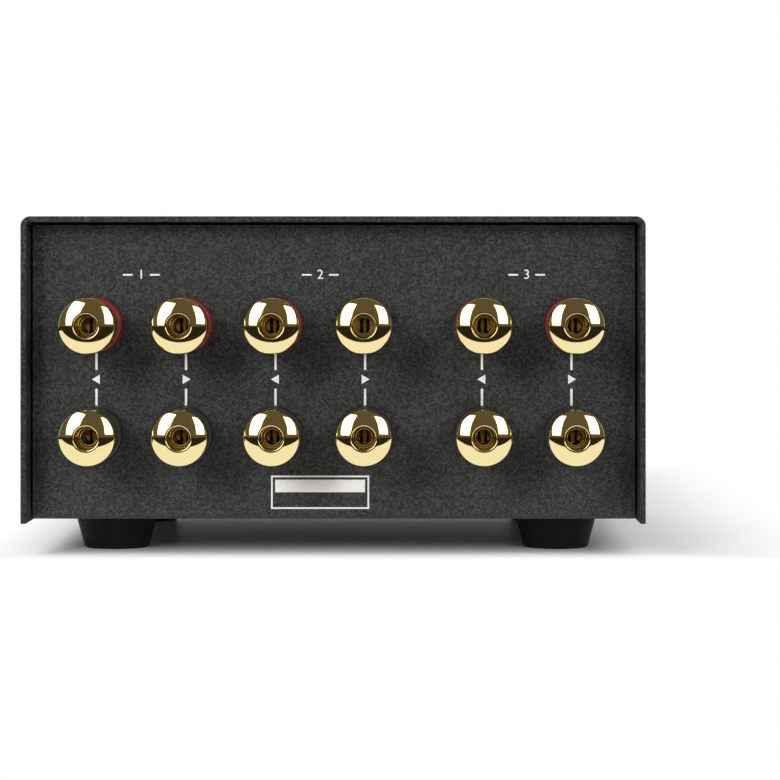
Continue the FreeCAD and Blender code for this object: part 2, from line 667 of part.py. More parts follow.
def ring(label, width, low, high):
    """Flat ring on the stem between two heights."""
    return turned(label, (
        (POST_BORE, low),
        (f"{width} / 2", low),
        (f"{width} / 2", high),
        (POST_BORE, high),
    ))


def post_lug():
    body = doc.addObject("PartDesign::Body", "solder_lug")
    disc = circles(sketch_on(body, "lug_ring", "XY_Plane", LUG_BACK), [("0", "0")], "lug_width")
    pad(body, disc, "lug_height")
    tab = sketch_on(body, "lug_tab", "XY_Plane", LUG_BACK)
    half = "lug_tab_width / 2"
    pad(body, rectangle(tab, f"0 - {half}", half, "lug_width / 4", "lug_reach"), "lug_height")
    holes = sketch_on(body, "lug_holes", "XY_Plane", WASHER_BACK)
    circles(holes, [("0", "0")], f"2 * {POST_BORE}")
    circles(holes, [("0", "lug_reach - eye_inset")], "lug_eye")
    pocket(body, holes)
    return body


def post_cap():
    widest = "cap_width / 2"
    head_back = "(cap_reach - cap_head)"
    rim = "(cap_reach - cap_dome)"
    body = turned("cap", (
        (POST_BORE, CAP_BACK),
        ("cap_grip_width / 2", CAP_BACK),
        ("cap_grip_width / 2", f"{head_back} - cap_neck_length"),
        ("cap_neck_width / 2", f"{head_back} - cap_neck_length"),
        ("cap_neck_width / 2", head_back),
        (widest, head_back),
        (widest, rim),
        (POST_BORE, "cap_reach"),
    ), dome=6)
    height = value(rim)
    soften(body, "Fillet", "cap_rim_round", "cap_rim",
           dict(XMax=value(widest), ZMin=height, ZMax=height))
    return body


def binding_posts():
    stem = post_stem()
    collar = post_collar()
    insulator = ring("inner_insulator", "insulator_width", INSULATOR_BACK, "0 - tray_sheet")
    washer = ring("post_washer", "post_washer_width", WASHER_BACK, INSULATOR_BACK)
    lug = post_lug()
    nut = hex_nut("post_nut", "post_nut_flats", "post_nut_height", "post_thread")
    clamp = ring("clamp", "clamp_width", FLANGE_TOP, CAP_BACK)
    cap = post_cap()

    stems, insulators, washers, lugs, nuts = [], [], [], [], []
    for colour, z, lug_turn in (("red", UPPER_ROW_Z, OUTWARD), ("black", LOWER_ROW_Z, OUTWARD_DOWN)):
        collars = []
        for column, x in enumerate(COLUMNS, start=1):
            name = "%s_%d" % (colour, column)
            stems.append(copy_of(stem, "stem_" + name, x, PANEL_Y, z, OUTWARD))
            collars.append(copy_of(collar, "collar_" + name, x, PANEL_Y, z, OUTWARD))
            insulators.append(copy_of(insulator, "insulator_" + name, x, PANEL_Y, z, OUTWARD))
            washers.append(copy_of(washer, "washer_" + name, x, PANEL_Y, z, OUTWARD))
            lugs.append(copy_of(lug, "lug_" + name, x, PANEL_Y, z, lug_turn))
            nut_y = f"{PANEL_Y} - {POST_NUT_BACK}"
            nuts.append(copy_of(nut, "nut_" + name, x, nut_y, z, OUTWARD))
            node(copy_of(clamp, "clamp_" + name, x, PANEL_Y, z, OUTWARD))
            node(copy_of(cap, "cap_" + name, x, PANEL_Y, z, OUTWARD))
        group(colour + "_collars", collars)
    group("binding_post_stems", stems)
    group("inner_insulators", insulators)
    group("post_washers", washers)
    group("solder_lugs", lugs)
    group("post_nuts", nuts)


# Selector, drawn with the shaft on local Z; local -Y is up when placed

def selector_knob():
    outer = "knob_width / 2"
    wall = "(knob_width / 2 - knob_wall)"
    hollow = f"{KNOB_BACK} + knob_hollow"
    bore_end = f"{KNOB_BACK} + knob_bore_depth"
    body = turned("selector_knob", (
        (SHAFT_BORE, KNOB_BACK),
        ("hub_width / 2", KNOB_BACK),
        ("hub_width / 2", hollow),
        (wall, hollow),
        (wall, KNOB_BACK),
        (outer, KNOB_BACK),
        (outer, KNOB_FACE),
        ("0", KNOB_FACE),
        ("0", bore_end),
        (SHAFT_BORE, bore_end),
    ))
    face = value(KNOB_FACE)
    soften(body, "Chamfer", "knob_face_bevel", "knob_bevel",
           dict(XMax=value(outer), ZMin=face, ZMax=face))
    groove = sketch_on(body, "pointer_groove", "XY_Plane", KNOB_FACE)
    half = "pointer_width / 2"
    rectangle(groove, f"0 - {half}", half, f"0 - {outer} - knob_bevel", f"pointer_length - {outer}")
    pocket(body, groove, "pointer_depth")
    hole = sketch_on(body, "set_screw_hole", "XZ_Plane", outer)
    circles(hole, [("0", f"{KNOB_BACK} + set_screw_rise")], "set_screw_width + 2 * thread_gap")
    feature = pocket(body, hole, f"{outer}")
    feature.Reversed = True
    return node(on_switch(body))


def knob_set_screw():
    body = doc.addObject("PartDesign::Body", "knob_set_screw")
    tip = "(shaft_width / 2 - shaft_flat)"
    centre = [("0", f"{KNOB_BACK} + set_screw_rise")]
    shank = circles(sketch_on(body, "set_screw_shank", "XZ_Plane", f"({tip} + set_screw_length)"),
                    centre, "set_screw_width")
    pad(body, shank, "set_screw_length")
    key = sketch_on(body, "set_screw_key", "XZ_Plane", f"({tip} + set_screw_length - key_depth)")
    corner = "key_width / 2 / cos(30)"
    height = centre[0][1]
    outline(key, [(f"{corner} * cos({a})", f"{height} + {corner} * sin({a})") for a in range(0, 360, 60)])
    pocket(body, key, "2 * key_depth")
    return node(on_switch(body))


def switch_shaft():
    radius = "shaft_width / 2"
    body = turned("switch_shaft", (("0", SHAFT_TAIL), (radius, SHAFT_TAIL), (radius, SHAFT_END),
                                   ("0", SHAFT_END)))
    flat = f"({radius} - shaft_flat)"
    for end, low, high in (("knob", KNOB_BACK, SHAFT_END), ("wafer", SHAFT_TAIL, COVER_BACK)):
        cutter = sketch_on(body, end + "_flat", "XY_Plane", high)
        rectangle(cutter, "0 - shaft_width", "shaft_width", flat, "shaft_width")
        pocket(body, cutter, f"{high} - {low}")
    return node(on_switch(body))


def switch_housing():
    body = doc.addObject("PartDesign::Body", "switch_housing")
    half = "housing_width / 2"
    block = sketch_on(body, "housing_block", "XY_Plane", HOUSING_BACK)
    pad(body, rectangle(block, f"0 - {half}", half, f"0 - {half}", half), "housing_depth")
    x = value(half)
    soften(body, "Fillet", "housing_corners", "housing_corner",
           *[dict(XMin=u, XMax=u, YMin=v, YMax=v) for u in (-x, x) for v in (-x, x)])
    boss = sketch_on(body, "bushing_boss", "XY_Plane", "0")
    pad(body, circles(boss, [("0", "0")], "bushing_width"), "bushing_reach")
    bore = sketch_on(body, "bushing_bore", "XY_Plane", "bushing_reach")
    pocket(body, circles(bore, [("0", "0")], f"2 * {SHAFT_BORE}"))
    room = sketch_on(body, "detent_room", "XY_Plane", "0 - housing_face")
    pocket(body, circles(room, [("0", "0")], "detent_width + 2 * detent_room_gap"), "2 * housing_depth")
    channel = sketch_on(body, "ball_channels", "XY_Plane",
                        f"({DETENT_MIDDLE} + ball_width / 2 + channel_gap)")
    half = "(ball_width / 2 + channel_gap)"
    rectangle(channel, f"0 - {half}", half, "0 - channel_end", "channel_end")
    pocket(body, channel, "2 * housing_depth")
    ties = sketch_on(body, "housing_tie_holes", "XY_Plane", f"({HOUSING_BACK} + tie_hold)")
    centres = [("0 - tie_spread / 2", "0"), ("tie_spread / 2", "0")]
    pocket(body, circles(ties, centres, "tie_width + 2 * thread_gap"), "2 * tie_hold")
    return node(on_switch(body))


def housing_cover():
    body = doc.addObject("PartDesign::Body", "housing_cover")
    half = "housing_width / 2"
    plate = sketch_on(body, "cover_plate", "XY_Plane", COVER_BACK)
    pad(body, rectangle(plate, f"0 - {half}", half, f"0 - {half}", half), "housing_cover_height")
    x = value(half)
    soften(body, "Fillet", "cover_plate_corners", "housing_corner",
           *[dict(XMin=u, XMax=u, YMin=v, YMax=v) for u in (-x, x) for v in (-x, x)])
    holes = sketch_on(body, "cover_plate_holes", "XY_Plane", HOUSING_BACK)
    circles(holes, [("0", "0")], "shaft_width + 2 * screw_slack")
    circles(holes, [("0 - tie_spread / 2", "0"), ("tie_spread / 2", "0")], "tie_width + 2 * screw_slack")
    pocket(body, holes)
    return node(on_switch(body))


def bushing_fasteners():
    washer = turned("bushing_washer", (
        ("bushing_width / 2 + thread_gap", "tray_sheet"),
        ("bushing_washer_width / 2", "tray_sheet"),
        ("bushing_washer_width / 2", "tray_sheet + bushing_washer_height"),
        ("bushing_width / 2 + thread_gap", "tray_sheet + bushing_washer_height"),
    ))
    node(on_switch(washer))
    nut = hex_nut("bushing_nut", "bushing_nut_flats", "bushing_nut_height", "bushing_width")
    y = f"{FRONT_Y} + bushing_washer_height"
    node(place(nut, "0", y, KNOB_Z, FORWARD))


def detent():
    wheel = turned("detent_wheel", (
        (SHAFT_BORE, f"{DETENT_FRONT} - detent_height"),
        ("detent_width / 2", f"{DETENT_FRONT} - detent_height"),
        ("detent_width / 2", DETENT_FRONT),
        (SHAFT_BORE, DETENT_FRONT),
    ))
    notches = sketch_on(wheel, "detent_notches", "XY_Plane", DETENT_FRONT)
    place_out = "(detent_width / 2 + notch_width / 2 - notch_depth)"
    centres = []
    for side in (90, 270):
        for step in (-1, 0, 1):
            angle = f"({side} + {step} * step_angle)"
            centres.append((f"{place_out} * cos({angle})", f"{place_out} * sin({angle})"))
    pocket(wheel, circles(notches, centres, "notch_width"))
    node(on_switch(wheel))

    ball = doc.addObject("Part::Sphere", "detent_ball")
    bind(ball, "Radius", "ball_width / 2")
    spring = detent_spring()
    balls, springs = [], []
    for end, sign in (("upper", 1), ("lower", -1)):
        y = f"{SWITCH_Y} + {DETENT_MIDDLE}"
        z = f"{KNOB_Z} + {sign} * {BALL_PLACE}"
        balls.append(copy_of(ball, "detent_ball_" + end, "0", y, z, UPRIGHT))
        seat = f"{KNOB_Z} + {sign} * ({BALL_PLACE} + ball_width / 2)"
        turn = UPRIGHT if sign > 0 else FreeCAD.Rotation(FreeCAD.Vector(1, 0, 0), 180)
        springs.append(copy_of(spring, "detent_spring_" + end, "0", y, seat, turn))
    group("detent_balls", balls)
    group("detent_springs", springs)


def detent_spring():
    """Coil of round wire standing on local zero."""
    helix = doc.addObject("Part::Helix", "spring_path")
    bind(helix, "Pitch", "spring_pitch")
    bind(helix, "Height", "spring_pitch * spring_turns")
    bind(helix, "Radius", "(spring_width - spring_wire) / 2")
    place(helix, "0", "0", "spring_wire / 2")
    section = doc.addObject("Part::Circle", "spring_section")
    bind(section, "Radius", "spring_wire / 2")
    turn = FreeCAD.Rotation(FreeCAD.Vector(1, 0, 0), 90)
    place(section, "(spring_width - spring_wire) / 2", "0", "spring_wire / 2", turn)
    sweep = doc.addObject("Part::Sweep", "detent_spring")
    sweep.Sections = [section]
    sweep.Spine = (helix, [])
    sweep.Solid = True
    sweep.Frenet = True
    return sweep


def wafer_stator():
    body = doc.addObject("PartDesign::Body", "wafer_stator")
    disc = circles(sketch_on(body, "stator_disc", "XY_Plane", "0"), [("0", "0")], "wafer_width")
    pad(body, disc, "wafer_height")
    holes = sketch_on(body, "stator_holes", "XY_Plane", "wafer_height")
    circles(holes, [("0", "0")], "rotor_width + 2 * rotor_gap")
    circles(holes, [("0 - tie_spread / 2", "0"), ("tie_spread / 2", "0")], "tie_width + 2 * screw_slack")
    pocket(body, holes)
    return body


def wafer_rotor():
    """Rotor with a key that fills the shaft's flat, its front flush with the stator's front."""
    body = doc.addObject("PartDesign::Body", "wafer_rotor")
    low = "(wafer_height - rotor_height)"
    disc = circles(sketch_on(body, "rotor_disc", "XY_Plane", low), [("0", "0")], "rotor_width")
    pad(body, disc, "rotor_height")
    bore = sketch_on(body, "rotor_bore", "XY_Plane", "wafer_height")
    pocket(body, circles(bore, [("0", "0")], f"2 * {SHAFT_BORE}"))
    key = sketch_on(body, "rotor_key", "XY_Plane", low)
    rectangle(key, "0 - shaft_width / 3", "shaft_width / 3",
              "shaft_width / 2 - shaft_flat + shaft_gap", "shaft_width / 2 + shaft_flat")
    pad(body, key, "rotor_height")
    return body


def sector(label, inside, outside, first_angle, span):
    """Flat piece of a ring, on local zero."""
    solid = doc.addObject("Part::Cylinder", label + "_outer")
    bind(solid, "Radius", f"{outside} / 2")
    bind(solid, "Height", "blade_height")
    bind(solid, "Angle", span)
    bind(solid, "Placement.Rotation.Angle", first_angle)
    core = doc.addObject("Part::Cylinder", label + "_inner")
    bind(core, "Radius", f"{inside} / 2")
    bind(core, "Height", "blade_height")
    piece = doc.addObject("Part::Cut", label)
    piece.Base = solid
    piece.Tool = core
    return piece


def rotor_blade():
    """Half ring that always meets the common terminal, with a nose for the two throws."""
    arc = sector("blade_ring", "blade_inside", "blade_outside", "(180 - blade_angle) / 2", "blade_angle")
    nose = sector("blade_nose", "(blade_outside - 1)", "blade_nose", "nose_rest - nose_angle / 2",
                  "nose_angle")
    blade = doc.addObject("Part::MultiFuse", "rotor_blade")
    blade.Shapes = [arc, nose]
    return blade


def stator_terminal(label, start):
    """Flat terminal pointing along local X, on local zero, with an eye near its tip."""
    body = doc.addObject("PartDesign::Body", label)
    strip = sketch_on(body, label + "_strip", "XY_Plane", "0 - clip_height")
    half = "clip_width / 2"
    pad(body, rectangle(strip, start, CLIP_TIP, f"0 - {half}", half), "clip_height")
    eye = sketch_on(body, label + "_eye", "XY_Plane", "0")
    pocket(body, circles(eye, [(CLIP_EYE, "0")], "lug_eye"))
    return body


def terminal_angles():
    """Angle of each terminal about the shaft, seen from the rear: name, start and angle."""
    for half_turn in (0, 180):
        yield "common", f"(common_angle + {half_turn})"
        yield "throw", f"(nose_rest - step_angle + {half_turn})"
        yield "throw", f"(nose_rest + step_angle + {half_turn})"


def axial(angle):
    """Turn that aims a wafer piece rearwards and then swings it round the shaft."""
    return FORWARD.multiply(FreeCAD.Rotation(FreeCAD.Vector(0, 0, 1), -angle))


def wafers():
    stator = wafer_stator()
    rotor = wafer_rotor()
    blade = rotor_blade()
    clips = {"common": stator_terminal("common_terminal", "common_start"),
             "throw": stator_terminal("throw_terminal", "throw_start")}
    stators, rotors, blades, terminals = [], [], [], []
    for place_name, height in (("front", FRONT_WAFER), ("rear", REAR_WAFER)):
        y = f"{SWITCH_Y} + {height}"
        stators.append(copy_of(stator, "stator_" + place_name, "0", y, KNOB_Z, FORWARD))
        rotors.append(copy_of(rotor, "rotor_" + place_name, "0", y, KNOB_Z, FORWARD))
        blade_y = f"{y} + wafer_height - rotor_height - blade_height"
        for half_turn in (0, 180):
            label = "blade_%s_%d" % (place_name, half_turn)
            turn = FORWARD.multiply(FreeCAD.Rotation(FreeCAD.Vector(0, 0, 1), half_turn))
            flip = FreeCAD.Rotation(FreeCAD.Vector(1, 0, 0), 180)
            blades.append(copy_of(blade, label, "0", f"{blade_y} + blade_height", KNOB_Z,
                                  turn.multiply(flip)))
        for number, (kind, angle) in enumerate(terminal_angles(), start=1):
            label = "terminal_%s_%d" % (place_name, number)
            terminals.append(copy_of(clips[kind], label, "0", y, KNOB_Z, axial(value(angle))))
    group("wafer_stators", stators)
    group("wafer_rotors", rotors)
    group("rotor_blades", blades)
    group("stator_terminals", terminals)


def wafer_fixings():
    spacers, screws = [], []
    for side, sign in (("left", -1), ("right", 1)):
        x = f"{sign} * tie_spread / 2"
        for place_name, length, back in (
                ("front", "front_spacer", f"{FRONT_WAFER} + wafer_height"),
                ("rear", "rear_spacer", f"{REAR_WAFER} + wafer_height")):
            label = "spacer_%s_%s" % (place_name, side)
            tube = doc.addObject("PartDesign::Body", label)
            wall = circles(sketch_on(tube, label + "_wall", "XY_Plane", "0"), [("0", "0")], "spacer_width")
            pad(tube, wall, length)
            bore = sketch_on(tube, label + "_bore", "XY_Plane", length)
            pocket(tube, circles(bore, [("0", "0")], "tie_width + 2 * screw_slack"))
            spacers.append(place(tube, x, f"{SWITCH_Y} + {back}", KNOB_Z, FORWARD))
        length = f"({HOUSING_BACK} + tie_hold - {REAR_WAFER} - screw_bottom_gap)"
        tie_screw = screw("tie_screw_" + side, "tie_width", length, "screw_head_width",
                          "screw_head_height")
        screws.append(place(tie_screw, x, f"{SWITCH_Y} + {REAR_WAFER}", KNOB_Z, FORWARD))
    group("wafer_spacers", spacers)
    group("tie_screws", screws)


def around(radius, angle, y):
    """Point at a radius and angle round the shaft, seen from the rear, at world height y."""
    turn = math.radians(angle)
    return FreeCAD.Vector(radius * math.cos(turn), y, value(KNOB_Z) + radius * math.sin(turn))


def wire_route(column, colour, wafer, angle, middle):
    """Corner points of one wire, from its solder lug to its terminal."""
    upper = colour == "red"
    eye = value("lug_reach - eye_inset")
    start = FreeCAD.Vector(value(COLUMNS[column - 1]), value(f"{PANEL_Y} - {LUG_BACK}"),
                           value(UPPER_ROW_Z) + eye if upper else value(LOWER_ROW_Z) - eye)
    route = [start, start + FreeCAD.Vector(0, value("wire_lead"), 0)]
    route += [FreeCAD.Vector(value(x), value(y), value(z)) for x, y, z in middle]
    end_radius = value(CLIP_EYE)
    rear = value(f"{SWITCH_Y} + {REAR_WAFER} - clip_height")
    if wafer == "rear":
        route.append(around(end_radius, angle, rear - value("wire_end")))
        route.append(around(end_radius, angle, rear))
        return route
    front = value(f"{SWITCH_Y} + {FRONT_WAFER} - clip_height")
    lane = value("wafer_width / 2 + lane_gap")
    route.append(around(lane, angle, rear - value("lane_length")))
    route.append(around(lane, angle, rear))
    route.append(around(end_radius, angle, front - value("lane_end")))
    route.append(around(end_radius, angle, front))
    return route


def wire_solid(label, route):
    """Round wire along straight runs joined by tangent arcs."""
    edges, radii, length = [], [], 0.0
    at = route[0]
    for before, corner, after in zip(route, route[1:], route[2:]):
        arriving = (corner - before).normalize()
        leaving = (after - corner).normalize()
        half_turn = arriving.getAngle(leaving) / 2
        reach = 0.45 * min((corner - before).Length, (after - corner).Length)
        radius = reach / math.tan(half_turn)
        arc_start = corner - arriving * reach
        arc_end = corner + leaving * reach
        inward = (leaving - arriving).normalize()
        centre = corner + inward * (radius / math.cos(half_turn))
        edges.append(Part.LineSegment(at, arc_start).toShape())
        edges.append(Part.Arc(arc_start, centre - inward * radius, arc_end).toShape())
        length += (arc_start - at).Length + 2 * half_turn * radius
        radii.append(round(radius, 1))
        at = arc_end
    edges.append(Part.LineSegment(at, route[-1]).toShape())
    length += (route[-1] - at).Length
    radius = value("wire_width") / 2
    section = Part.Wire(Part.Circle(route[0], route[1] - route[0], radius).toShape())
    solid = Part.Wire(edges).makePipeShell([section], True, False)
    expected = math.pi * radius * radius * length
    print("%-8s %6.1f mm, radii %s, volume %.4f of its section times its length"
          % (label, length, radii, solid.Volume / expected))
    if abs(solid.Volume / expected - 1) > 0.01:
        raise RuntimeError("wire volume: " + label)
    piece = doc.addObject("Part::Feature", label)
    piece.Shape = solid
    return piece


def wires():
    """Twelve wires: the rear wafer switches the left channel and the front wafer the right."""
    first = value("nose_rest - step_angle")
    second = value("nose_rest + step_angle")
    output = value("common_angle")
    angles = {1: first, 2: first, 3: second, 4: second, 5: output, 6: output}
    over = f"({TOP_Z} - cover_sheet - over_gap)"
    over_y = f"({PANEL_Y} + over_depth)"
    inner_y = f"({PANEL_Y} + inner_depth)"
    inner_z = f"({KNOB_Z} + inner_rise)"
    crossings = {
        1: [("0", over_y, over)],
        2: [("over_side", f"{over_y} - over_step", over)],
        5: [("inner_side", inner_y, inner_z)],
        6: [("inner_side + inner_step", inner_y, f"{inner_z} + inner_lift")],
    }
    for colour, half_turn in (("red", 0), ("black", 180)):
        pieces = []
        for column, angle in angles.items():
            wafer = "rear" if column % 2 else "front"
            middle = crossings.get(column, []) if colour == "red" else []
            route = wire_route(column, colour, wafer, angle + half_turn, middle)
            pieces.append(wire_solid("%s_%d" % (colour, column), route))
        group(colour + "_wires", pieces)


def failed(item):
    """Whether an object of the document reports a fault."""
    return any(state in ("Invalid", "Error") for state in item.State)


def check():
    for item in doc.Objects:
        if failed(item):
            raise RuntimeError("failed: %s %s" % (item.Label, item.State))
    for item in nodes:
        if item.Shape.isNull() or not item.Shape.isValid() or not item.Shape.Solids:
            raise RuntimeError("bad shape: %s" % item.Label)
    for feature in cuts:
        if feature.Shape.Volume > feature.BaseFeature.Shape.Volume - NEAR:
            raise RuntimeError("cuts nothing: %s" % feature.Label)


def export():
    os.makedirs("parts", exist_ok=True)
    for item in nodes:
        item.Shape.exportStep("parts/%s.step" % item.Label)
        print("%-22s %2d solids %10.2f mm3" % (item.Label, len(item.Shape.Solids), item.Shape.Volume))
    print(len(nodes), "nodes")


base_tray()
top_cover()
front_panel()
feet()
case_fasteners()
binding_posts()
selector_knob()
knob_set_screw()
switch_shaft()
switch_housing()
housing_cover()
bushing_fasteners()
detent()
wafers()
wafer_fixings()
wires()
doc.recompute()
check()
export()
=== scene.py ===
import json
import math
import bmesh
import bpy
from mathutils import Matrix, Vector

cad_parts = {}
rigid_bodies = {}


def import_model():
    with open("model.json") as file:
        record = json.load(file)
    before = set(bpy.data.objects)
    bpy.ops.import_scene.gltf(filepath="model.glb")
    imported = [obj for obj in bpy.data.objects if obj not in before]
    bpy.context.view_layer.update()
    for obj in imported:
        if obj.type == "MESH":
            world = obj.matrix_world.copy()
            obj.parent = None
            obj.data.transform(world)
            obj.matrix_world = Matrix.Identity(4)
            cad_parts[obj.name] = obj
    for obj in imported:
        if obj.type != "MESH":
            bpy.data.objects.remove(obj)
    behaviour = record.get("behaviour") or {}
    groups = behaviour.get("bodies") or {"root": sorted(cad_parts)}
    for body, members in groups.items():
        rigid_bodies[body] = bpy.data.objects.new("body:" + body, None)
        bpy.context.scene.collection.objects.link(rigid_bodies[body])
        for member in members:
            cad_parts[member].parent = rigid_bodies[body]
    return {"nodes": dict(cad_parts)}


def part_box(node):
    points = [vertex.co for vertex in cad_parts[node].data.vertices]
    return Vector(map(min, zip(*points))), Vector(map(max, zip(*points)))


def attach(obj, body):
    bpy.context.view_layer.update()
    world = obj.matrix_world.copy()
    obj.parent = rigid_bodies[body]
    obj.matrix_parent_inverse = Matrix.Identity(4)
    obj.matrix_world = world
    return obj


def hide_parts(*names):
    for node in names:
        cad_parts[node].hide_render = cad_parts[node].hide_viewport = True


# Speaker selector switch, seen from its terminal side. Metres, in the frame of the part.

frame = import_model()
for leftover in [item for item in bpy.data.objects if item.name in ("Cube", "Light", "Camera")]:
    bpy.data.objects.remove(leftover)
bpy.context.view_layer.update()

MM = 0.001


def box_mm(node):
    """Low and high corner of a CAD node, in millimetres."""
    return [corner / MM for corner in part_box(node)]


def post_axis(name):
    """Where the axis of a binding post meets the terminal panel, as x and z."""
    low, high = box_mm("cap_" + name)
    return (low.x + high.x) / 2, (low.z + high.z) / 2


COVER_LOW, COVER_HIGH = box_mm("top_cover")
KNOB_LOW, KNOB_HIGH = box_mm("selector_knob")
KNOB_Z = (KNOB_LOW.z + KNOB_HIGH.z) / 2
PANEL_Y = box_mm("base_tray")[0].y
PLATE_Y = box_mm("front_panel")[1].y
POSTS = [(colour, f"{colour}_{column}") for colour in ("red", "black") for column in range(1, 7)]


# Shapes, worked out in millimetres

SHARP_ANGLE = math.radians(38)
ON_AXIS = 1e-6
ARC_STEPS, FEWEST_STEPS, MOST_STEPS = 7, 3, 24


def linked(name, data):
    """Object in the scene for some data."""
    item = bpy.data.objects.new(name, data)
    bpy.context.scene.collection.objects.link(item)
    return item


def add(name, mesh, matrix=None):
    """Object for a mesh, shaded smooth except across sharp edges."""
    mesh.shade_smooth()
    mesh.set_sharp_from_angle(angle=SHARP_ANGLE)
    item = linked(name, mesh)
    if matrix:
        item.matrix_world = matrix
    return item


def as_mesh(name, shape, closed=True):
    """Mesh from a bmesh. The faces of a closed one are turned outwards."""
    if closed:
        bmesh.ops.recalc_face_normals(shape, faces=shape.faces)
    mesh = bpy.data.meshes.new(name)
    shape.to_mesh(mesh)
    shape.free()
    return mesh


def face(shape, *corners):
    """Face over the corners that differ, where there are enough of them."""
    corners = list(dict.fromkeys(corners))
    if len(corners) > 2:
        shape.faces.new(corners)


def rounded(corners):
    """Closed outline with an arc at each corner given as (u, v, radius)."""
    points = []
    for index, (u, v, radius) in enumerate(corners):
        here = Vector((u, v))
        if radius <= 0:
            points.append(here)
            continue
        back = (Vector(corners[index - 1][:2]) - here).normalized()
        ahead = (Vector(corners[(index + 1) % len(corners)][:2]) - here).normalized()
        half = back.angle(ahead) / 2
        centre = here + (back + ahead).normalized() * (radius / math.sin(half))
        start = here + back * (radius / math.tan(half)) - centre
        end = here + ahead * (radius / math.tan(half)) - centre
        first = math.atan2(start.y, start.x)
        turn = (math.atan2(end.y, end.x) - first + math.pi) % math.tau - math.pi
        steps = max(FEWEST_STEPS, min(MOST_STEPS, round(radius * ARC_STEPS)))
        for step in range(steps + 1):
            angle = first + turn * step / steps
            points.append(centre + radius * Vector((math.cos(angle), math.sin(angle))))
    return points


def lathe(name, corners, segments, reach=None):
    """Mesh turned about local Z. reach(radius, height, angle) may change the radius."""
    shape = bmesh.new()
    rings = []
    for radius, height in rounded(corners):
        ring = []
        for step in range(segments if radius > ON_AXIS else 1):
            angle = math.tau * step / segments
            size = reach(radius, height, angle) if reach else radius
            spot = Vector((size * math.cos(angle), size * math.sin(angle), height))
            ring.append(shape.verts.new(spot * MM))
        rings.append(ring)
    for near, far in zip(rings, rings[1:] + rings[:1]):
        for step in range(segments):
            after = (step + 1) % segments
            face(shape, near[step % len(near)], near[after % len(near)],
                 far[after % len(far)], far[step % len(far)])
    return as_mesh(name, shape)


def prism(shape, points, low, high, lift):
    """Closed prism over flat points. lift(u, v, height) gives each corner's place."""
    bottom = [shape.verts.new(lift(u, v, low) * MM) for u, v in points]
    top = [shape.verts.new(lift(u, v, high) * MM) for u, v in points]
    shape.faces.new(bottom)
    shape.faces.new(top)
    for index in range(len(points)):
        after = (index + 1) % len(points)
        shape.faces.new((bottom[index], bottom[after], top[after], top[index]))


def box_points(left, low, right, high):
    """Corners of a rectangle."""
    return [(left, low), (right, low), (right, high), (left, high)]


def cut(item, cutter):
    """Take one closed mesh out of another and drop the cutter."""
    modifier = item.modifiers.new("cut", "BOOLEAN")
    modifier.operation = "DIFFERENCE"
    modifier.solver = "EXACT"
    modifier.object = cutter
    bpy.context.view_layer.update()
    settled = item.evaluated_get(bpy.context.evaluated_depsgraph_get())
    mesh = bpy.data.meshes.new_from_object(settled)
    item.modifiers.clear()
    item.data = mesh
    bpy.data.objects.remove(cutter)


def finished(item, body, slot, material, *nodes):
    """Give a piece its body, its finish and the CAD nodes it stands for. The slot is not used."""
    if item.data.materials:
        item.data.materials[0] = material
    else:
        item.data.materials.append(material)
    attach(item, body)
    if nodes:
        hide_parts(*nodes)


# Finishes

NOISE_LOW, NOISE_HIGH = 0.3, 0.7
SMOOTHEST = 0.02


def times(colour, factor):
    """A colour made lighter or darker."""
    return [factor * part for part in colour]


def stretched(tree, source, start, end, low=0.0, high=1.0, curve="LINEAR"):
    """The source between start and end, stretched to low and high."""
    stretch = tree.nodes.new("ShaderNodeMapRange")
    stretch.interpolation_type = curve
    for socket, value in (("From Min", start), ("From Max", end), ("To Min", low), ("To Max", high)):
        stretch.inputs[socket].default_value = value
    tree.links.new(source, stretch.inputs["Value"])
    return stretch.outputs["Result"]


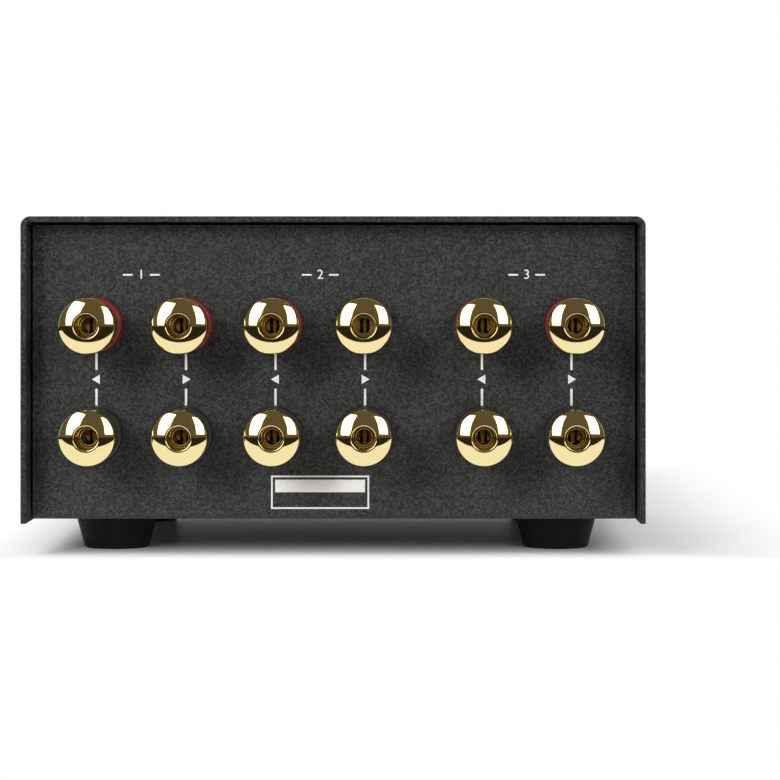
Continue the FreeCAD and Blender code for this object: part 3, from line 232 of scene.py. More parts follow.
class Finish:
    """Principled material whose detail comes from noise in object space."""

    def __init__(self, name, colour, roughness, metallic=0.0, **sockets):
        self.material = bpy.data.materials.new(name)
        self.material.use_nodes = True
        self.tree = self.material.node_tree
        self.shader = self.tree.nodes["Principled BSDF"]
        self.colour, self.roughness = colour, roughness
        self.set("Base Color", (*colour, 1))
        self.set("Roughness", roughness)
        self.set("Metallic", metallic)
        for socket, value in sockets.items():
            self.set(socket.replace("_", " "), value)
        self.place = self.node("ShaderNodeTexCoord").outputs["Object"]
        self.last_bump = None

    def set(self, socket, value):
        self.shader.inputs[socket].default_value = value

    def node(self, kind, **settings):
        node = self.tree.nodes.new(kind)
        for setting, value in settings.items():
            setattr(node, setting, value)
        return node

    def link(self, source, target):
        self.tree.links.new(source, target)

    def noise(self, scale, detail=2.0, stretch=(1, 1, 1)):
        """Noise of that many features a metre."""
        mapping = self.node("ShaderNodeMapping")
        mapping.inputs["Scale"].default_value = stretch
        self.link(self.place, mapping.inputs["Vector"])
        noise = self.node("ShaderNodeTexNoise")
        noise.inputs["Scale"].default_value = scale
        noise.inputs["Detail"].default_value = detail
        self.link(mapping.outputs["Vector"], noise.inputs["Vector"])
        return noise.outputs["Fac"]

    def specks(self, scale):
        """A random value for each of that many specks a metre."""
        specks = self.node("ShaderNodeTexVoronoi")
        specks.inputs["Scale"].default_value = scale
        self.link(self.place, specks.inputs["Vector"])
        parts = self.node("ShaderNodeSeparateColor")
        self.link(specks.outputs["Color"], parts.inputs["Color"])
        return parts.outputs["Red"]

    def rings(self, scale):
        """Uneven rings round local Z, as a lathe tool leaves them."""
        flat = self.node("ShaderNodeVectorMath", operation="MULTIPLY")
        flat.inputs[1].default_value = (1, 1, 0)
        self.link(self.place, flat.inputs[0])
        radius = self.node("ShaderNodeVectorMath", operation="LENGTH")
        self.link(flat.outputs["Vector"], radius.inputs[0])
        noise = self.node("ShaderNodeTexNoise", noise_dimensions="1D")
        noise.inputs["Scale"].default_value = scale
        noise.inputs["Detail"].default_value = 3.0
        self.link(radius.outputs["Value"], noise.inputs["W"])
        return noise.outputs["Fac"]

    def shade(self, source, colour, amount, start=NOISE_LOW, end=NOISE_HIGH):
        """Blend the base colour towards another where the source is high."""
        mix = self.node("ShaderNodeMix", data_type="RGBA")
        self.link(stretched(self.tree, source, start, end, 0.0, amount), mix.inputs["Factor"])
        incoming = self.shader.inputs["Base Color"]
        if incoming.is_linked:
            self.link(incoming.links[0].from_socket, mix.inputs["A"])
        else:
            mix.inputs["A"].default_value = (*self.colour, 1)
        mix.inputs["B"].default_value = (*colour, 1)
        self.link(mix.outputs["Result"], incoming)

    def rub(self, source, spread):
        """Let the roughness follow the source."""
        low, high = max(SMOOTHEST, self.roughness - spread), min(1.0, self.roughness + spread)
        rough = stretched(self.tree, source, NOISE_LOW, NOISE_HIGH, low, high)
        self.link(rough, self.shader.inputs["Roughness"])

    def bump(self, source, strength, depth):
        """Relief of that depth in millimetres, on top of the bumps before it."""
        bump = self.node("ShaderNodeBump")
        bump.inputs["Strength"].default_value = strength
        bump.inputs["Distance"].default_value = depth * MM
        self.link(source, bump.inputs["Height"])
        if self.last_bump:
            self.link(self.last_bump.outputs["Normal"], bump.inputs["Normal"])
        self.link(bump.outputs["Normal"], self.shader.inputs["Normal"])
        self.last_bump = bump


def powder_coat(name, colour, fleck):
    coat = Finish(name, colour, roughness=0.52, Specular_IOR_Level=0.2)
    grain = coat.noise(2300, detail=3)
    coat.shade(coat.noise(45), times(colour, 0.8), amount=0.5)
    coat.shade(coat.specks(2100), fleck, amount=0.6, start=0.25, end=1.0)
    coat.shade(grain, fleck, amount=0.35, start=0.5, end=0.8)
    coat.rub(coat.noise(1300), spread=0.09)
    coat.bump(coat.noise(900, detail=1), strength=0.25, depth=0.06)
    coat.bump(grain, strength=0.5, depth=0.05)
    return coat.material


def gold(name, colour, roughness, rings):
    plate = Finish(name, colour, roughness, metallic=1.0)
    plate.shade(plate.noise(120, detail=3), (0.80, 0.58, 0.22), amount=0.25, start=0.5, end=0.8)
    plate.rub(plate.noise(900, detail=4), spread=0.03)
    plate.bump(plate.rings(rings), strength=0.06, depth=0.01)
    plate.bump(plate.noise(160), strength=0.05, depth=0.02)
    return plate.material


def plastic(name, colour, light, roughness):
    moulding = Finish(name, colour, roughness, Specular_IOR_Level=0.5)
    moulding.shade(moulding.noise(300, detail=3), light, amount=0.5)
    moulding.rub(moulding.noise(1500, detail=3), spread=0.08)
    moulding.bump(moulding.noise(3000), strength=0.12, depth=0.02)
    return moulding.material


def rubber(name, colour):
    foot = Finish(name, colour, roughness=0.62, Specular_IOR_Level=0.15)
    foot.shade(foot.noise(180, detail=3), times(colour, 2.2), amount=0.6)
    foot.rub(foot.noise(2500), spread=0.12)
    foot.bump(foot.noise(3200, detail=3), strength=0.35, depth=0.04)
    return foot.material


def brushed(name, colour, roughness, metallic, stretch):
    plate = Finish(name, colour, roughness, metallic, Anisotropic=0.35)
    lines = plate.noise(1.0, detail=3, stretch=stretch)
    plate.shade(lines, times(colour, 1.9), amount=0.6)
    plate.rub(lines, spread=0.1)
    plate.bump(lines, strength=0.15, depth=0.01)
    plate.bump(plate.noise(4000), strength=0.08, depth=0.01)
    return plate.material


def turned(name, colour, roughness, metallic):
    piece = Finish(name, colour, roughness, metallic, Anisotropic=0.3)
    rings = piece.rings(5000)
    piece.shade(rings, times(colour, 2), amount=0.6)
    piece.rub(rings, spread=0.1)
    piece.bump(rings, strength=0.25, depth=0.015)
    return piece.material


def metal(name, colour, roughness, dark):
    piece = Finish(name, colour, roughness, metallic=1.0)
    piece.shade(piece.noise(400, detail=4), dark, amount=0.6)
    piece.rub(piece.noise(1500, detail=3), spread=0.1)
    piece.bump(piece.noise(2500, detail=3), strength=0.15, depth=0.02)
    return piece.material


def ink(name, colour):
    paint = Finish(name, colour, roughness=0.5)
    paint.shade(paint.noise(3500, detail=3), times(colour, 0.7), amount=0.7, start=0.4, end=0.75)
    paint.rub(paint.noise(1200), spread=0.1)
    paint.bump(paint.noise(2300, detail=3), strength=0.3, depth=0.02)
    return paint.material


COAT = powder_coat("black_powder_coat", (0.0205, 0.0213, 0.0214), (0.083, 0.0855, 0.0845))
# Darker copy of the coat for the cover's cut ends: painted shade, not a different paint.
SHADED_EDGE_COAT = powder_coat("powder_coat_with_painted_shade_on_edges", (0.0115, 0.0119, 0.0119), (0.072, 0.074, 0.072))
GOLD = gold("polished_gold_plate", (0.92, 0.78, 0.40), roughness=0.06, rings=3000)
STEM_GOLD = gold("turned_gold_plate", (0.90, 0.72, 0.34), roughness=0.08, rings=6000)
RED = plastic("red_moulding", (0.19, 0.017, 0.015), (0.25, 0.032, 0.027), 0.32)
BLACK = plastic("black_moulding", (0.02, 0.02, 0.021), (0.035, 0.035, 0.035), 0.36)
RUBBER = rubber("foot_rubber", (0.0052, 0.0052, 0.005))
FRONT = brushed("brushed_black_front", (0.024, 0.024, 0.026), roughness=0.38, metallic=0.75,
                stretch=(14, 900, 2600))
KNOB = turned("turned_black_knob", (0.03, 0.03, 0.032), roughness=0.3, metallic=0.8)
CUT_EDGE = turned("bright_cut_edge", (0.62, 0.62, 0.64), roughness=0.2, metallic=1.0)
WHITE = ink("white_print", (0.78, 0.78, 0.76))
FINISHES = {
    "black_coat": COAT,
    "front_anodised": FRONT,
    "knob_anodised": KNOB,
    "foot_rubber": RUBBER,
    "gold_plate": STEM_GOLD,
    "red_plastic": RED,
    "black_plastic": BLACK,
    "plated_steel": metal("zinc_plated_steel", (0.60, 0.60, 0.58), 0.32, (0.42, 0.42, 0.38)),
    "black_steel": metal("black_oxide_steel", (0.05, 0.05, 0.052), 0.4, (0.02, 0.02, 0.022)),
    "bright_steel": metal("ground_steel", (0.62, 0.62, 0.62), 0.2, (0.48, 0.48, 0.49)),
    "zinc_casting": metal("zinc_casting", (0.46, 0.46, 0.47), 0.45, (0.33, 0.33, 0.34)),
    "tinned_brass": metal("tinned_brass", (0.68, 0.66, 0.60), 0.28, (0.52, 0.48, 0.38)),
    "phenolic": plastic("brown_phenolic", (0.16, 0.06, 0.022), (0.24, 0.10, 0.04), 0.42),
    "nylon": plastic("natural_nylon", (0.62, 0.60, 0.52), (0.72, 0.70, 0.62), 0.45),
    "red_insulation": plastic("red_insulation", (0.46, 0.02, 0.015), (0.55, 0.05, 0.03), 0.38),
    "black_insulation": plastic("black_insulation", (0.015, 0.015, 0.015), (0.03, 0.03, 0.03), 0.38),
}


def dress_nodes():
    """Give every CAD node that stays in view its finish."""
    for item in frame["nodes"].values():
        for slot in item.material_slots:
            slot.material = FINISHES[slot.material.name.split(".")[0]]


# Case

SHEET, BEND = 1.5, 2.6
SOFT_EDGE, SOFT_STEPS, SOFT_FROM = 0.28, 3, math.radians(50)
SAME_PLACE = 1e-7
END_FACING = 0.9


def cover_section(inset):
    """Section of the cover, up its left side, over the top and down its right side."""
    half, top, low, bend = COVER_HIGH.x - inset, COVER_HIGH.z - inset, COVER_LOW.z, BEND - inset
    return rounded([(-half, low, 0), (-half, top, bend), (half, top, bend), (half, low, 0)])


def case_cover():
    """Bent sheet over the tray, softened where it was sheared, with painted shade on its cut ends."""
    outer, inner = cover_section(0), cover_section(SHEET)
    # The inner bend has fewer points than the outer one, so some of them are met twice
    outer_arc, inner_arc = (len(line) // 2 - 1 for line in (outer, inner))
    met = [round(index * (inner_arc - 1) / (outer_arc - 1)) for index in range(outer_arc)]
    left = [inner[0]] + [inner[1 + index] for index in met]
    inner = left + [Vector((-point.x, point.y)) for point in reversed(left)]
    shape = bmesh.new()
    ends = []
    for y in (COVER_LOW.y, COVER_HIGH.y):
        for line in (outer, inner):
            ends.append([shape.verts.new(Vector((x, y, z)) * MM) for x, z in line])
    outer_rear, inner_rear, outer_front, inner_front = ends
    for index in range(len(outer) - 1):
        after = index + 1
        for near, far in ((outer_rear, outer_front), (inner_rear, inner_front),
                          (outer_rear, inner_rear), (outer_front, inner_front)):
            face(shape, near[index], near[after], far[after], far[index])
    for index in (0, -1):
        face(shape, outer_rear[index], inner_rear[index], inner_front[index], outer_front[index])
    bmesh.ops.remove_doubles(shape, verts=shape.verts, dist=SAME_PLACE)
    mesh = as_mesh("case_cover", shape)
    mesh.materials.append(COAT)
    mesh.materials.append(SHADED_EDGE_COAT)
    # The cut ends facing front and back take the darker copy of the coat, which is painted shade.
    for polygon in mesh.polygons:
        if abs(polygon.normal.y) > END_FACING:
            polygon.material_index = 1
    cover = add("case_cover", mesh)
    bevel = cover.modifiers.new("soft_edges", "BEVEL")
    bevel.width = SOFT_EDGE * MM
    bevel.segments = SOFT_STEPS
    bevel.limit_method = "ANGLE"
    bevel.angle_limit = SOFT_FROM
    bevel.harden_normals = True
    finished(cover, "chassis", "black_coat", COAT, "top_cover")


FOOT_TAPER, FOOT_BORE = 2.6, 2.2
FOOT_RECESS, RECESS_DEPTH = 4.75, 4.5
FOOT_RIM, RIM_HEIGHT, RIM_SLOPE = 0.45, 1.3, 1.6
FOOT_SIDES = 96


def feet():
    """Tapered rubber feet with a rim at the top and a recess for the screw."""
    for node in ("foot_rear_left", "foot_rear_right", "foot_front_left", "foot_front_right"):
        low, high = box_mm(node)
        top, height = (high.x - low.x) / 2, high.z - low.z
        corners = [(FOOT_BORE, RECESS_DEPTH, 0), (FOOT_RECESS, RECESS_DEPTH, 0.3), (FOOT_RECESS, 0, 0.5),
                   (top - FOOT_TAPER, 0, 1.0), (top - FOOT_RIM, height - RIM_SLOPE, 0.6),
                   (top, height - RIM_HEIGHT, 0.3), (top, height, 0.25), (FOOT_BORE, height, 0)]
        place = Vector(((low.x + high.x) / 2, (low.y + high.y) / 2, 0)) * MM
        mesh = lathe(node, corners, FOOT_SIDES)
        foot = add(node.replace("foot", "rubber_foot"), mesh, Matrix.Translation(place))
        finished(foot, "chassis", "foot_rubber", RUBBER, node)


# Binding posts: radii, and heights from the panel's outer face

OUTWARD = Matrix.Rotation(math.pi / 2, 4, "X")
FORWARD = Matrix.Rotation(-math.pi / 2, 4, "X")
BORE, WIDEST, GRIP, NECK, WASHER = 3.1, 7.25, 6.65, 6.0, 6.5
STEM, STEM_TAIL, STEM_END, SEAT, SEAT_FACE = 3.0, -12, 18.0, 6.25, 8.7
SOCKET, SOCKET_BOTTOM, WIRE_HOLE, HOLE, THROUGH, CHANNEL = 2.05, 4.0, 11.7, 1.3, 4, 1.9
THREAD_LOW, THREAD_HIGH, THREAD_STEP, THREADED_FROM = 9.0, 17.5, 0.1, 2.9
THREAD_PITCH, THREAD_DEPTH, THREAD_FLANK, THREAD_CREST = 1.0, 0.42, 1.35, 0.2
COLLAR_TAIL, COLLAR_BACK, COLLAR_FACE, PANEL_HOLE = -1.4, 0.02, 7.2, 4.5
GROOVE_LOW, GROOVE_MIDDLE, GROOVE_HIGH, GROOVE_DEPTH = 5.9, 6.1, 6.3, 0.15
CAP_BACK, NECK_BACK, HEAD_BACK, CAP_END = 9.9, 18.6, 19.4, 25.4
FLUTES, FLUTE_DEPTH, FLUTE_LOW, FLUTE_HIGH = 24, 0.32, 10.5, 18.1
FLUTE_FADE, FLUTE_STEP, FLUTED_FROM = 0.8, 0.4, 6.3
DOME_RISE, DOME_STEPS, DOME_EDGE, DOME_MOUTH = 2.4, 28, 0.2, 0.62
STEM_SIDES, HOLE_SIDES, RING_SIDES, CAP_SIDES = 64, 48, 96, 144


def fading(height, low, high, length):
    """From nothing at either end of a stretch to all of it that length further in."""
    return min(1, (height - low) / length, (high - height) / length)


def stem_reach(radius, height, angle):
    """Right-handed thread with flat crests."""
    if radius < THREADED_FROM or not THREAD_LOW < height < THREAD_HIGH:
        return radius
    phase = (height / THREAD_PITCH - angle / math.tau) % 1
    groove = min(1, max(0, THREAD_FLANK * abs(2 * phase - 1) - THREAD_CREST))
    return radius - THREAD_DEPTH * fading(height, THREAD_LOW, THREAD_HIGH, THREAD_PITCH) * groove


def grip_reach(radius, height, angle):
    """Shallow flutes round the grip."""
    if radius < FLUTED_FROM or not FLUTE_LOW < height < FLUTE_HIGH:
        return radius
    fade = fading(height, FLUTE_LOW, FLUTE_HIGH, FLUTE_FADE)
    return radius - FLUTE_DEPTH * fade * (0.5 - 0.5 * math.cos(FLUTES * angle)) ** 2


def rows(radius, low, high, step):
    """Evenly spaced outline points up a plain wall."""
    return [(radius, low + step * row, 0) for row in range(round((high - low) / step) + 1)]


def dome_points():
    """Spherical end of a cap, from just inside its rim to just outside its bore."""
    middle = CAP_END - (DOME_RISE ** 2 + WIDEST ** 2 - BORE ** 2) / (2 * DOME_RISE)
    radius = math.hypot(BORE, CAP_END - middle)
    start, end = WIDEST - DOME_EDGE, BORE + DOME_MOUTH
    points = []
    for step in range(DOME_STEPS + 1):
        u = start + (end - start) * step / DOME_STEPS
        points.append((u, middle + math.sqrt(radius ** 2 - u ** 2), 0))
    return points


def post_meshes():
    """The stem, collar, washer and cap, drawn once."""
    stem = add("stem", lathe("post_stem", [
        (0, STEM_TAIL, 0), (STEM, STEM_TAIL, 0.3), (STEM, COLLAR_FACE, 0), (SEAT, COLLAR_FACE, 0.2),
        (SEAT, SEAT_FACE, 0.25), (STEM, SEAT_FACE, 0.1),
        *rows(STEM, THREAD_LOW, THREAD_HIGH, THREAD_STEP), (STEM, STEM_END, 0.3),
        (SOCKET, STEM_END, 0.2), (SOCKET, SOCKET_BOTTOM, 0), (0, SOCKET_BOTTOM, 0)],
        STEM_SIDES, stem_reach))
    for height, reach in ((WIRE_HOLE, THROUGH), (SOCKET_BOTTOM, CHANNEL)):
        outline = [(0, -reach, 0), (HOLE, -reach, 0), (HOLE, reach, 0), (0, reach, 0)]
        place = Matrix.Translation(Vector((0, 0, height)) * MM)
        cut(stem, add("hole", lathe("hole", outline, HOLE_SIDES), place @ FORWARD))
    stem_mesh = stem.data
    bpy.data.objects.remove(stem)
    collar = lathe("post_collar", [
        (BORE, COLLAR_TAIL, 0), (PANEL_HOLE, COLLAR_TAIL, 0), (PANEL_HOLE, COLLAR_BACK, 0),
        (WIDEST, COLLAR_BACK, 0.1), (WIDEST, GROOVE_LOW, 0), (WIDEST - GROOVE_DEPTH, GROOVE_MIDDLE, 0),
        (WIDEST, GROOVE_HIGH, 0), (WIDEST, COLLAR_FACE, 0.45), (BORE, COLLAR_FACE, 0.1)], RING_SIDES)
    washer = lathe("clamp_washer", [
        (BORE, SEAT_FACE, 0.15), (WASHER, SEAT_FACE, 0.3), (WASHER, CAP_BACK, 0.3),
        (BORE, CAP_BACK, 0.15)], RING_SIDES)
    cap = lathe("domed_cap", [
        (BORE, CAP_BACK, 0.3), (GRIP, CAP_BACK, 0.3), *rows(GRIP, FLUTE_LOW, FLUTE_HIGH, FLUTE_STEP),
        (GRIP, NECK_BACK, 0.3), (NECK, NECK_BACK, 0.15), (NECK, HEAD_BACK, 0.15),
        (WIDEST, HEAD_BACK, 0.35), (WIDEST, CAP_END - DOME_RISE, 0.45),
        *dome_points(), (BORE, CAP_END, 0.42)], CAP_SIDES, grip_reach)
    return stem_mesh, collar, washer, cap


def binding_posts():
    stem, collar, washer, cap = post_meshes()
    for colour, name in POSTS:
        x, z = post_axis(name)
        matrix = Matrix.Translation(Vector((x, PANEL_Y, z)) * MM) @ OUTWARD
        ring, ring_finish = (collar, RED) if colour == "red" else (collar.copy(), BLACK)
        finished(add("post_stem_" + name, stem, matrix), "chassis", "gold_plate", STEM_GOLD,
                 "binding_post_stems")
        finished(add("post_collar_" + name, ring, matrix), "chassis", colour + "_plastic",
                 ring_finish, colour + "_collars")
        finished(add("clamp_washer_" + name, washer, matrix), "clamp_body_" + name, "gold_plate", GOLD,
                 "clamp_" + name)
        finished(add("domed_cap_" + name, cap, matrix), "cap_body_" + name, "gold_plate", GOLD,
                 "cap_" + name)


# Selector knob: radii, and heights from its back

KNURLS, KNURL_DEPTH, KNURL_FADE, KNURLED_FROM = 72, 0.35, 0.7, 18.5
KNURL_LOW, KNURL_HIGH = 2.4, 13.6
KNURL_ROWS = (KNURL_LOW, 2.7, 3.1, 5, 8, 11, 12.9, 13.3, KNURL_HIGH)
SHAFT_BORE, BORE_DEPTH, HUB, SKIRT_WALL, SKIRT_DEPTH = 3.05, 12.5, 7, 16.5, 9
RIM, RIM_SIDE, RIM_BACK, LEAST_SLANT, MOST_SLANT = 1.2, 1.25, 1.4, 0.4, 0.95
LINE_HALF, LINE_START, LINE_END, LINE_LOW, LINE_HIGH = 0.72, 10.9, 1.0, -0.79, -0.55
SLOT_HALF, SLOT_START, SLOT_PAST, SLOT_LOW, SLOT_HIGH = 0.8, 11, 2, -0.8, 1
KNOB_SIDES = 432


def knob_reach(radius, height, angle):
    """Straight knurl between two plain bands."""
    if radius < KNURLED_FROM or not KNURL_LOW < height < KNURL_HIGH:
        return radius
    fade = fading(height, KNURL_LOW, KNURL_HIGH, KNURL_FADE)
    return radius - KNURL_DEPTH * fade * (0.5 + 0.5 * math.cos(KNURLS * angle))


def on_knob(u, v, height):
    """Place on the knob's face, with v away from its axis and the height outwards."""
    return Vector((u, KNOB_HIGH.y + height, KNOB_Z + v))


def selector_knob():
    """Turned knob with a bright rim and a white line let into its face."""
    depth, outer = KNOB_HIGH.y - KNOB_LOW.y, (KNOB_HIGH.z - KNOB_LOW.z) / 2
    mesh = lathe("selector_knob", [
        (0, BORE_DEPTH, 0), (SHAFT_BORE, BORE_DEPTH, 0), (SHAFT_BORE, 0, 0), (HUB, 0, 0.3),
        (HUB, SKIRT_DEPTH, 0), (SKIRT_WALL, SKIRT_DEPTH, 0.3), (SKIRT_WALL, 0, 0.3), (outer, 0, 0.5),
        *[(outer, height, 0) for height in KNURL_ROWS], (outer, depth - RIM, 0.12),
        (outer - RIM, depth, 0.12), (0, depth, 0)], KNOB_SIDES, knob_reach)
    place = Vector((0, KNOB_LOW.y, KNOB_Z)) * MM
    knob = add("turned_knob", mesh, Matrix.Translation(place) @ FORWARD)
    shape = bmesh.new()
    slot = box_points(-SLOT_HALF, outer - SLOT_START, SLOT_HALF, outer + SLOT_PAST)
    prism(shape, slot, SLOT_LOW, SLOT_HIGH, on_knob)
    cut(knob, add("groove", as_mesh("groove", shape)))
    knob.data.materials.append(KNOB)
    knob.data.materials.append(CUT_EDGE)
    for polygon in knob.data.polygons:
        centre = polygon.center / MM
        on_rim = math.hypot(centre.x, centre.y) > outer - RIM_SIDE and centre.z > depth - RIM_BACK
        if on_rim and LEAST_SLANT < polygon.normal.z < MOST_SLANT:
            polygon.material_index = 1
    finished(knob, "selector", "knob_anodised", KNOB, "selector_knob")

    shape = bmesh.new()
    line = box_points(-LINE_HALF, outer - LINE_START, LINE_HALF, outer - LINE_END)
    prism(shape, line, LINE_LOW, LINE_HIGH, on_knob)
    finished(add("pointer_line", as_mesh("pointer_line", shape)), "selector", None, WHITE)


# Print: plain numbers, lines and arrows only

PRINT_HEIGHT, CURVE_STEPS = 0.03, 6
STROKE_HALF, ARROW_ROOM, CAP_ROOM = 0.3, 2.5, 7.5
ARROW_TIP, ARROW_TAIL, ARROW_HALF = 1.2, 0.9, 1.25
HEADING_RISE, HEADING_SIZE = 13.4, 3.6
DASH_START, DASH_END, DASH_HALF = 2.3, 4.9, 0.22
PLATE_LEFT, PLATE_LOW, PLATE_RIGHT, PLATE_HIGH = -16.8, 12.3, 9.4, 21.2
PLATE_LINE, PLATE_INSET = 0.45, 1.1
DIAL = (("1", -30), ("0", 0), ("2", 30))
DIAL_REACH, DIAL_SIZE, TICK_START, TICK_END = 27, 5.2, 20.6, 23.2


def rear(u, v, height):
    """Place on the terminal panel, with u to the right and v up."""
    return Vector((u, PANEL_Y - height, v))


def front(u, v, height):
    """Place on the front plate, with u to the right as seen from the front and v up."""
    return Vector((-u, PLATE_Y + height, v))


def numeral(shape, text, u, v, size, lift):
    """Raised number centred on a place."""
    curve = bpy.data.curves.new("numeral", "FONT")
    curve.body = text
    curve.size = size
    curve.align_x = "CENTER"
    curve.align_y = "CENTER"
    curve.extrude = PRINT_HEIGHT / 2
    curve.resolution_u = CURVE_STEPS
    item = linked("numeral", curve)
    bpy.context.view_layer.update()
    mesh = bpy.data.meshes.new_from_object(item.evaluated_get(bpy.context.evaluated_depsgraph_get()))
    for vertex in mesh.vertices:
        x, y, z = vertex.co
        vertex.co = lift(u + x, v + y, z + PRINT_HEIGHT / 2) * MM
    shape.from_mesh(mesh)
    bpy.data.objects.remove(item)


def strip(shape, left, low, right, high):
    """Printed rectangle on the terminal panel."""
    prism(shape, box_points(left, low, right, high), 0, PRINT_HEIGHT, rear)


def post_marks(shape, x, upper, lower, side):
    """Lines from the upper and lower post of a column to an arrow between them."""
    middle = (upper + lower) / 2
    strip(shape, x - STROKE_HALF, middle + ARROW_ROOM, x + STROKE_HALF, upper - CAP_ROOM)
    strip(shape, x - STROKE_HALF, lower + CAP_ROOM, x + STROKE_HALF, middle - ARROW_ROOM)
    tail = x - side * ARROW_TAIL
    arrow = [(x + side * ARROW_TIP, middle), (tail, middle + ARROW_HALF), (tail, middle - ARROW_HALF)]
    prism(shape, arrow, 0, PRINT_HEIGHT, rear)


def heading(shape, text, x, z):
    """Number between two dashes."""
    numeral(shape, text, x, z, HEADING_SIZE, rear)
    for side in (-1, 1):
        start, end = sorted((x + side * DASH_START, x + side * DASH_END))
        strip(shape, start, z - DASH_HALF, end, z + DASH_HALF)


def blank_plate(shape):
    """Outline with a filled upper half."""
    left, low, right, high, line = PLATE_LEFT, PLATE_LOW, PLATE_RIGHT, PLATE_HIGH, PLATE_LINE
    strip(shape, left, low, right, low + line)
    strip(shape, left, high - line, right, high)
    strip(shape, left, low + line, left + line, high - line)
    strip(shape, right - line, low + line, right, high - line)
    strip(shape, left + PLATE_INSET, (low + high) / 2, right - PLATE_INSET, high - PLATE_INSET)


def panel_print():
    """Marks between the two rows of posts, a number over each group and a blank plate."""
    shape = bmesh.new()
    places = {colour: [post_axis(name) for tint, name in POSTS if tint == colour]
              for colour in ("red", "black")}
    columns = [x for x, z in places["red"]]
    upper, lower = places["red"][-1][1], places["black"][-1][1]
    for index, x in enumerate(columns):
        post_marks(shape, x, upper, lower, -1 if index % 2 == 0 else 1)
    for index, text in enumerate("123"):
        heading(shape, text, (columns[2 * index] + columns[2 * index + 1]) / 2, upper + HEADING_RISE)
    blank_plate(shape)
    bmesh.ops.recalc_face_normals(shape, faces=shape.faces)
    finished(add("rear_print", as_mesh("rear_print", shape)), "chassis", None, WHITE)


def dial_print():
    """Number and tick for each position of the knob."""
    shape = bmesh.new()
    for text, degrees in DIAL:
        turn = math.radians(degrees)
        out = Vector((math.sin(turn), math.cos(turn)))
        across = Vector((out.y, -out.x)) * STROKE_HALF
        spot = out * DIAL_REACH
        numeral(shape, text, spot.x, KNOB_Z + spot.y, DIAL_SIZE, front)
        tick = [out * TICK_START - across, out * TICK_START + across,
                out * TICK_END + across, out * TICK_END - across]
        prism(shape, [(point.x, KNOB_Z + point.y) for point in tick], 0, PRINT_HEIGHT, front)
    finished(add("dial_print", as_mesh("dial_print", shape)), "chassis", None, WHITE)


# Studio

FLOOR_REACH, FLOOR_COLOUR, FLOOR_ROUGHNESS, FLOOR_GLOSS = 6, (0.93, 0.93, 0.925), 0.45, 0.25
# Where the floor turns plain white: axis, start and end in metres
FLOOR_FADES = (("Y", -0.056, -0.086), ("Y", 0.10, 0.35), ("X", -0.070, -0.1), ("X", 0.078, 0.14))
# Painted reflections: a dimly glowing room and a dark floor that only reflections show.
ROOM, ROOM_BACK, ROOM_REFLECTION_COLOUR = 2.4, 0.7, (0.115, 0.092, 0.062)
LIT_FRONT, LIT_SIDE, DARK_FLOOR_REFLECTION_HEIGHT, DARK_FLOOR_REFLECTION_COLOUR = -0.147, 0.42, 0.001, (0.024, 0.018, 0.012)
BEHIND_GLOW, AHEAD_GLOW, AHEAD_AT = 0.12, 1.0, 0.6
FOCAL_LENGTH, SENSOR, SHIFT = 128.1, 36, (-0.0218, -0.128)
EYE_X, EYE_Z, EYE_DISTANCE, NEAREST = 19.5, 70.7, 741, 0.01


def stage_material(name):
    material = bpy.data.materials.new(name)
    material.use_nodes = True
    tree = material.node_tree
    tree.nodes.clear()
    return material, tree, tree.nodes.new("ShaderNodeOutputMaterial")


def combined(tree, operation, first, second):
    """Two values taken together by one operation."""
    node = tree.nodes.new("ShaderNodeMath")
    node.operation = operation
    tree.links.new(first, node.inputs[0])
    tree.links.new(second, node.inputs[1])
    return node.outputs["Value"]


def highest(tree, values):
    """The highest of several values."""
    total = values[0]
    for value in values[1:]:
        total = combined(tree, "MAXIMUM", total, value)
    return total


def seen_directly(tree):
    """One for camera, glossy and transmission rays."""
    path = tree.nodes.new("ShaderNodeLightPath")
    kinds = ("Is Camera Ray", "Is Glossy Ray", "Is Transmission Ray")
    return highest(tree, [path.outputs[kind] for kind in kinds])


def blend(tree, factor, first, second, output):
    """Mix two shaders into the output."""
    mix = tree.nodes.new("ShaderNodeMixShader")
    tree.links.new(factor, mix.inputs["Fac"])
    tree.links.new(first, mix.inputs[1])
    tree.links.new(second, mix.inputs[2])
    tree.links.new(mix.outputs["Shader"], output.inputs["Surface"])


def split(tree, source):
    """The X, Y and Z of one of the texture coordinates."""
    place = tree.nodes.new("ShaderNodeTexCoord")
    parts = tree.nodes.new("ShaderNodeSeparateXYZ")
    tree.links.new(place.outputs[source], parts.inputs["Vector"])
    return parts.outputs


def floor():
    """Pale floor that takes the shadow near the object and is plain white further out."""
    shape = bmesh.new()
    bmesh.ops.create_grid(shape, x_segments=8, y_segments=8, size=FLOOR_REACH)
    item = linked("floor", as_mesh("floor", shape, closed=False))
    material, tree, output = stage_material("pale_floor")
    paper = tree.nodes.new("ShaderNodeBsdfPrincipled")
    paper.inputs["Base Color"].default_value = (*FLOOR_COLOUR, 1)
    paper.inputs["Roughness"].default_value = FLOOR_ROUGHNESS
    paper.inputs["Specular IOR Level"].default_value = FLOOR_GLOSS
    white = tree.nodes.new("ShaderNodeEmission")
    parts = split(tree, "Object")
    fades = [stretched(tree, parts[axis], start, end, curve="SMOOTHSTEP")
             for axis, start, end in FLOOR_FADES]
    factor = combined(tree, "MULTIPLY", highest(tree, fades), seen_directly(tree))
    blend(tree, factor, paper.outputs["BSDF"], white.outputs["Emission"], output)
    item.data.materials.append(material)


def card(name, shape, colour):
    """Dark glowing sheet that shows only in reflections: a painted reflection."""
    item = linked(name, as_mesh(name, shape, closed=False))
    material, tree, output = stage_material(name)
    glow = tree.nodes.new("ShaderNodeEmission")
    glow.inputs["Color"].default_value = (*colour, 1)
    tree.links.new(glow.outputs["Emission"], output.inputs["Surface"])
    item.data.materials.append(material)
    item.visible_camera = False
    item.visible_diffuse = False
    item.visible_transmission = False
    item.visible_shadow = False


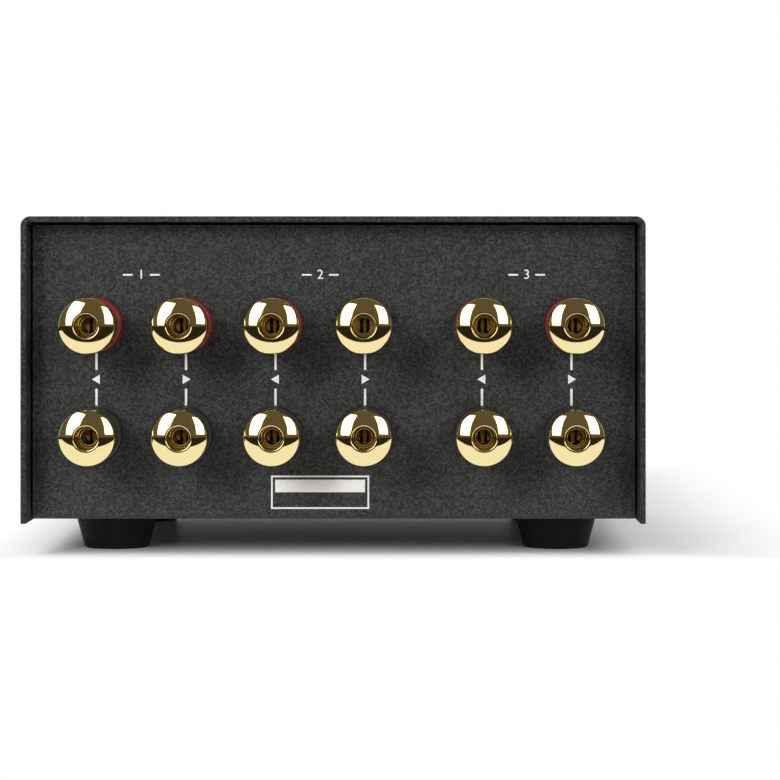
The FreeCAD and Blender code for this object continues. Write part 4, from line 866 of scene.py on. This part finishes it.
def cards():
    """Painted reflections of a dim room in front of the terminals and of a dark floor round the lit part of
    the table.
    """
    shape = bmesh.new()
    bmesh.ops.create_uvsphere(shape, u_segments=48, v_segments=24, radius=ROOM)
    behind = [piece for piece in shape.faces
              if piece.calc_center_median().y > ROOM_BACK or piece.calc_center_median().z < 0]
    bmesh.ops.delete(shape, geom=behind, context="FACES")
    card("dim_room", shape, ROOM_REFLECTION_COLOUR)
    shape = bmesh.new()
    for left, right, back in ((-LIT_SIDE, LIT_SIDE, LIT_FRONT), (-ROOM, -LIT_SIDE, ROOM_BACK),
                              (LIT_SIDE, ROOM, ROOM_BACK)):
        corners = box_points(left, -ROOM, right, back)
        shape.faces.new([shape.verts.new((x, y, DARK_FLOOR_REFLECTION_HEIGHT)) for x, y in corners])
    card("dark_cloth", shape, DARK_FLOOR_REFLECTION_COLOUR)


def soft_box(name, place, facing, size, glow, in_reflections):
    """Evenly glowing panel that faces the given way."""
    width, height = size
    light = bpy.data.lights.new(name, "AREA")
    light.shape = "RECTANGLE"
    light.size, light.size_y = width, height
    light.energy = glow * math.pi * width * height
    item = linked(name, light)
    item.location = place
    item.rotation_euler = Vector(facing).to_track_quat("-Z", "Y").to_euler()
    item.visible_camera = False
    item.visible_glossy = in_reflections


def lights():
    """Two soft boxes that show in the caps, and two keys and a fill that don't."""
    soft_box("left_soft_box", (-0.292, -0.272, 0.279), (0.563, 0.707, -0.429), (0.25, 0.455), 2.6, True)
    soft_box("right_soft_box", (0.592, -0.362, 0.438), (-0.368, 0.903, -0.223), (0.43, 0.65), 2.6, True)
    soft_box("left_key", (-0.477, -1.09, 0.46), (0.477, 1.02, -0.41), (0.2, 0.45), 19, False)
    soft_box("right_key", (0.605, -1.04, 0.42), (-0.605, 0.97, -0.37), (0.25, 0.3), 17, False)
    soft_box("front_fill", (0.1, -1.3, 0.17), (-0.1, 1.23, -0.12), (0.5, 0.5), 1.6, False)


def surroundings():
    """Light that comes mostly from behind the object, seen as plain white."""
    world = bpy.data.worlds.new("studio")
    bpy.context.scene.world = world
    world.use_nodes = True
    tree = world.node_tree
    tree.nodes.clear()
    output = tree.nodes.new("ShaderNodeOutputWorld")
    lighting, backdrop = (tree.nodes.new("ShaderNodeBackground") for part in range(2))
    for background in (lighting, backdrop):
        background.inputs["Color"].default_value = (1, 1, 1, 1)
    sweep = stretched(tree, split(tree, "Generated")["Y"], 0.0, AHEAD_AT, BEHIND_GLOW, AHEAD_GLOW)
    tree.links.new(sweep, lighting.inputs["Strength"])
    blend(tree, seen_directly(tree), lighting.outputs["Background"], backdrop.outputs["Background"], output)


def camera():
    """Square on to the terminal panel, right of its middle and level with the upper posts."""
    data = bpy.data.cameras.new("camera")
    data.sensor_fit = "HORIZONTAL"
    data.sensor_width = SENSOR
    data.lens = FOCAL_LENGTH
    data.shift_x, data.shift_y = SHIFT
    data.clip_start = NEAREST
    item = linked("camera", data)
    item.location = Vector((EYE_X, PANEL_Y - EYE_DISTANCE, EYE_Z)) * MM
    item.rotation_euler = (math.pi / 2, 0, 0)
    bpy.context.scene.camera = item


dress_nodes()
case_cover()
feet()
binding_posts()
selector_knob()
panel_print()
dial_print()
floor()
cards()
lights()
surroundings()
camera()
bpy.context.scene.view_settings.view_transform = "Standard"
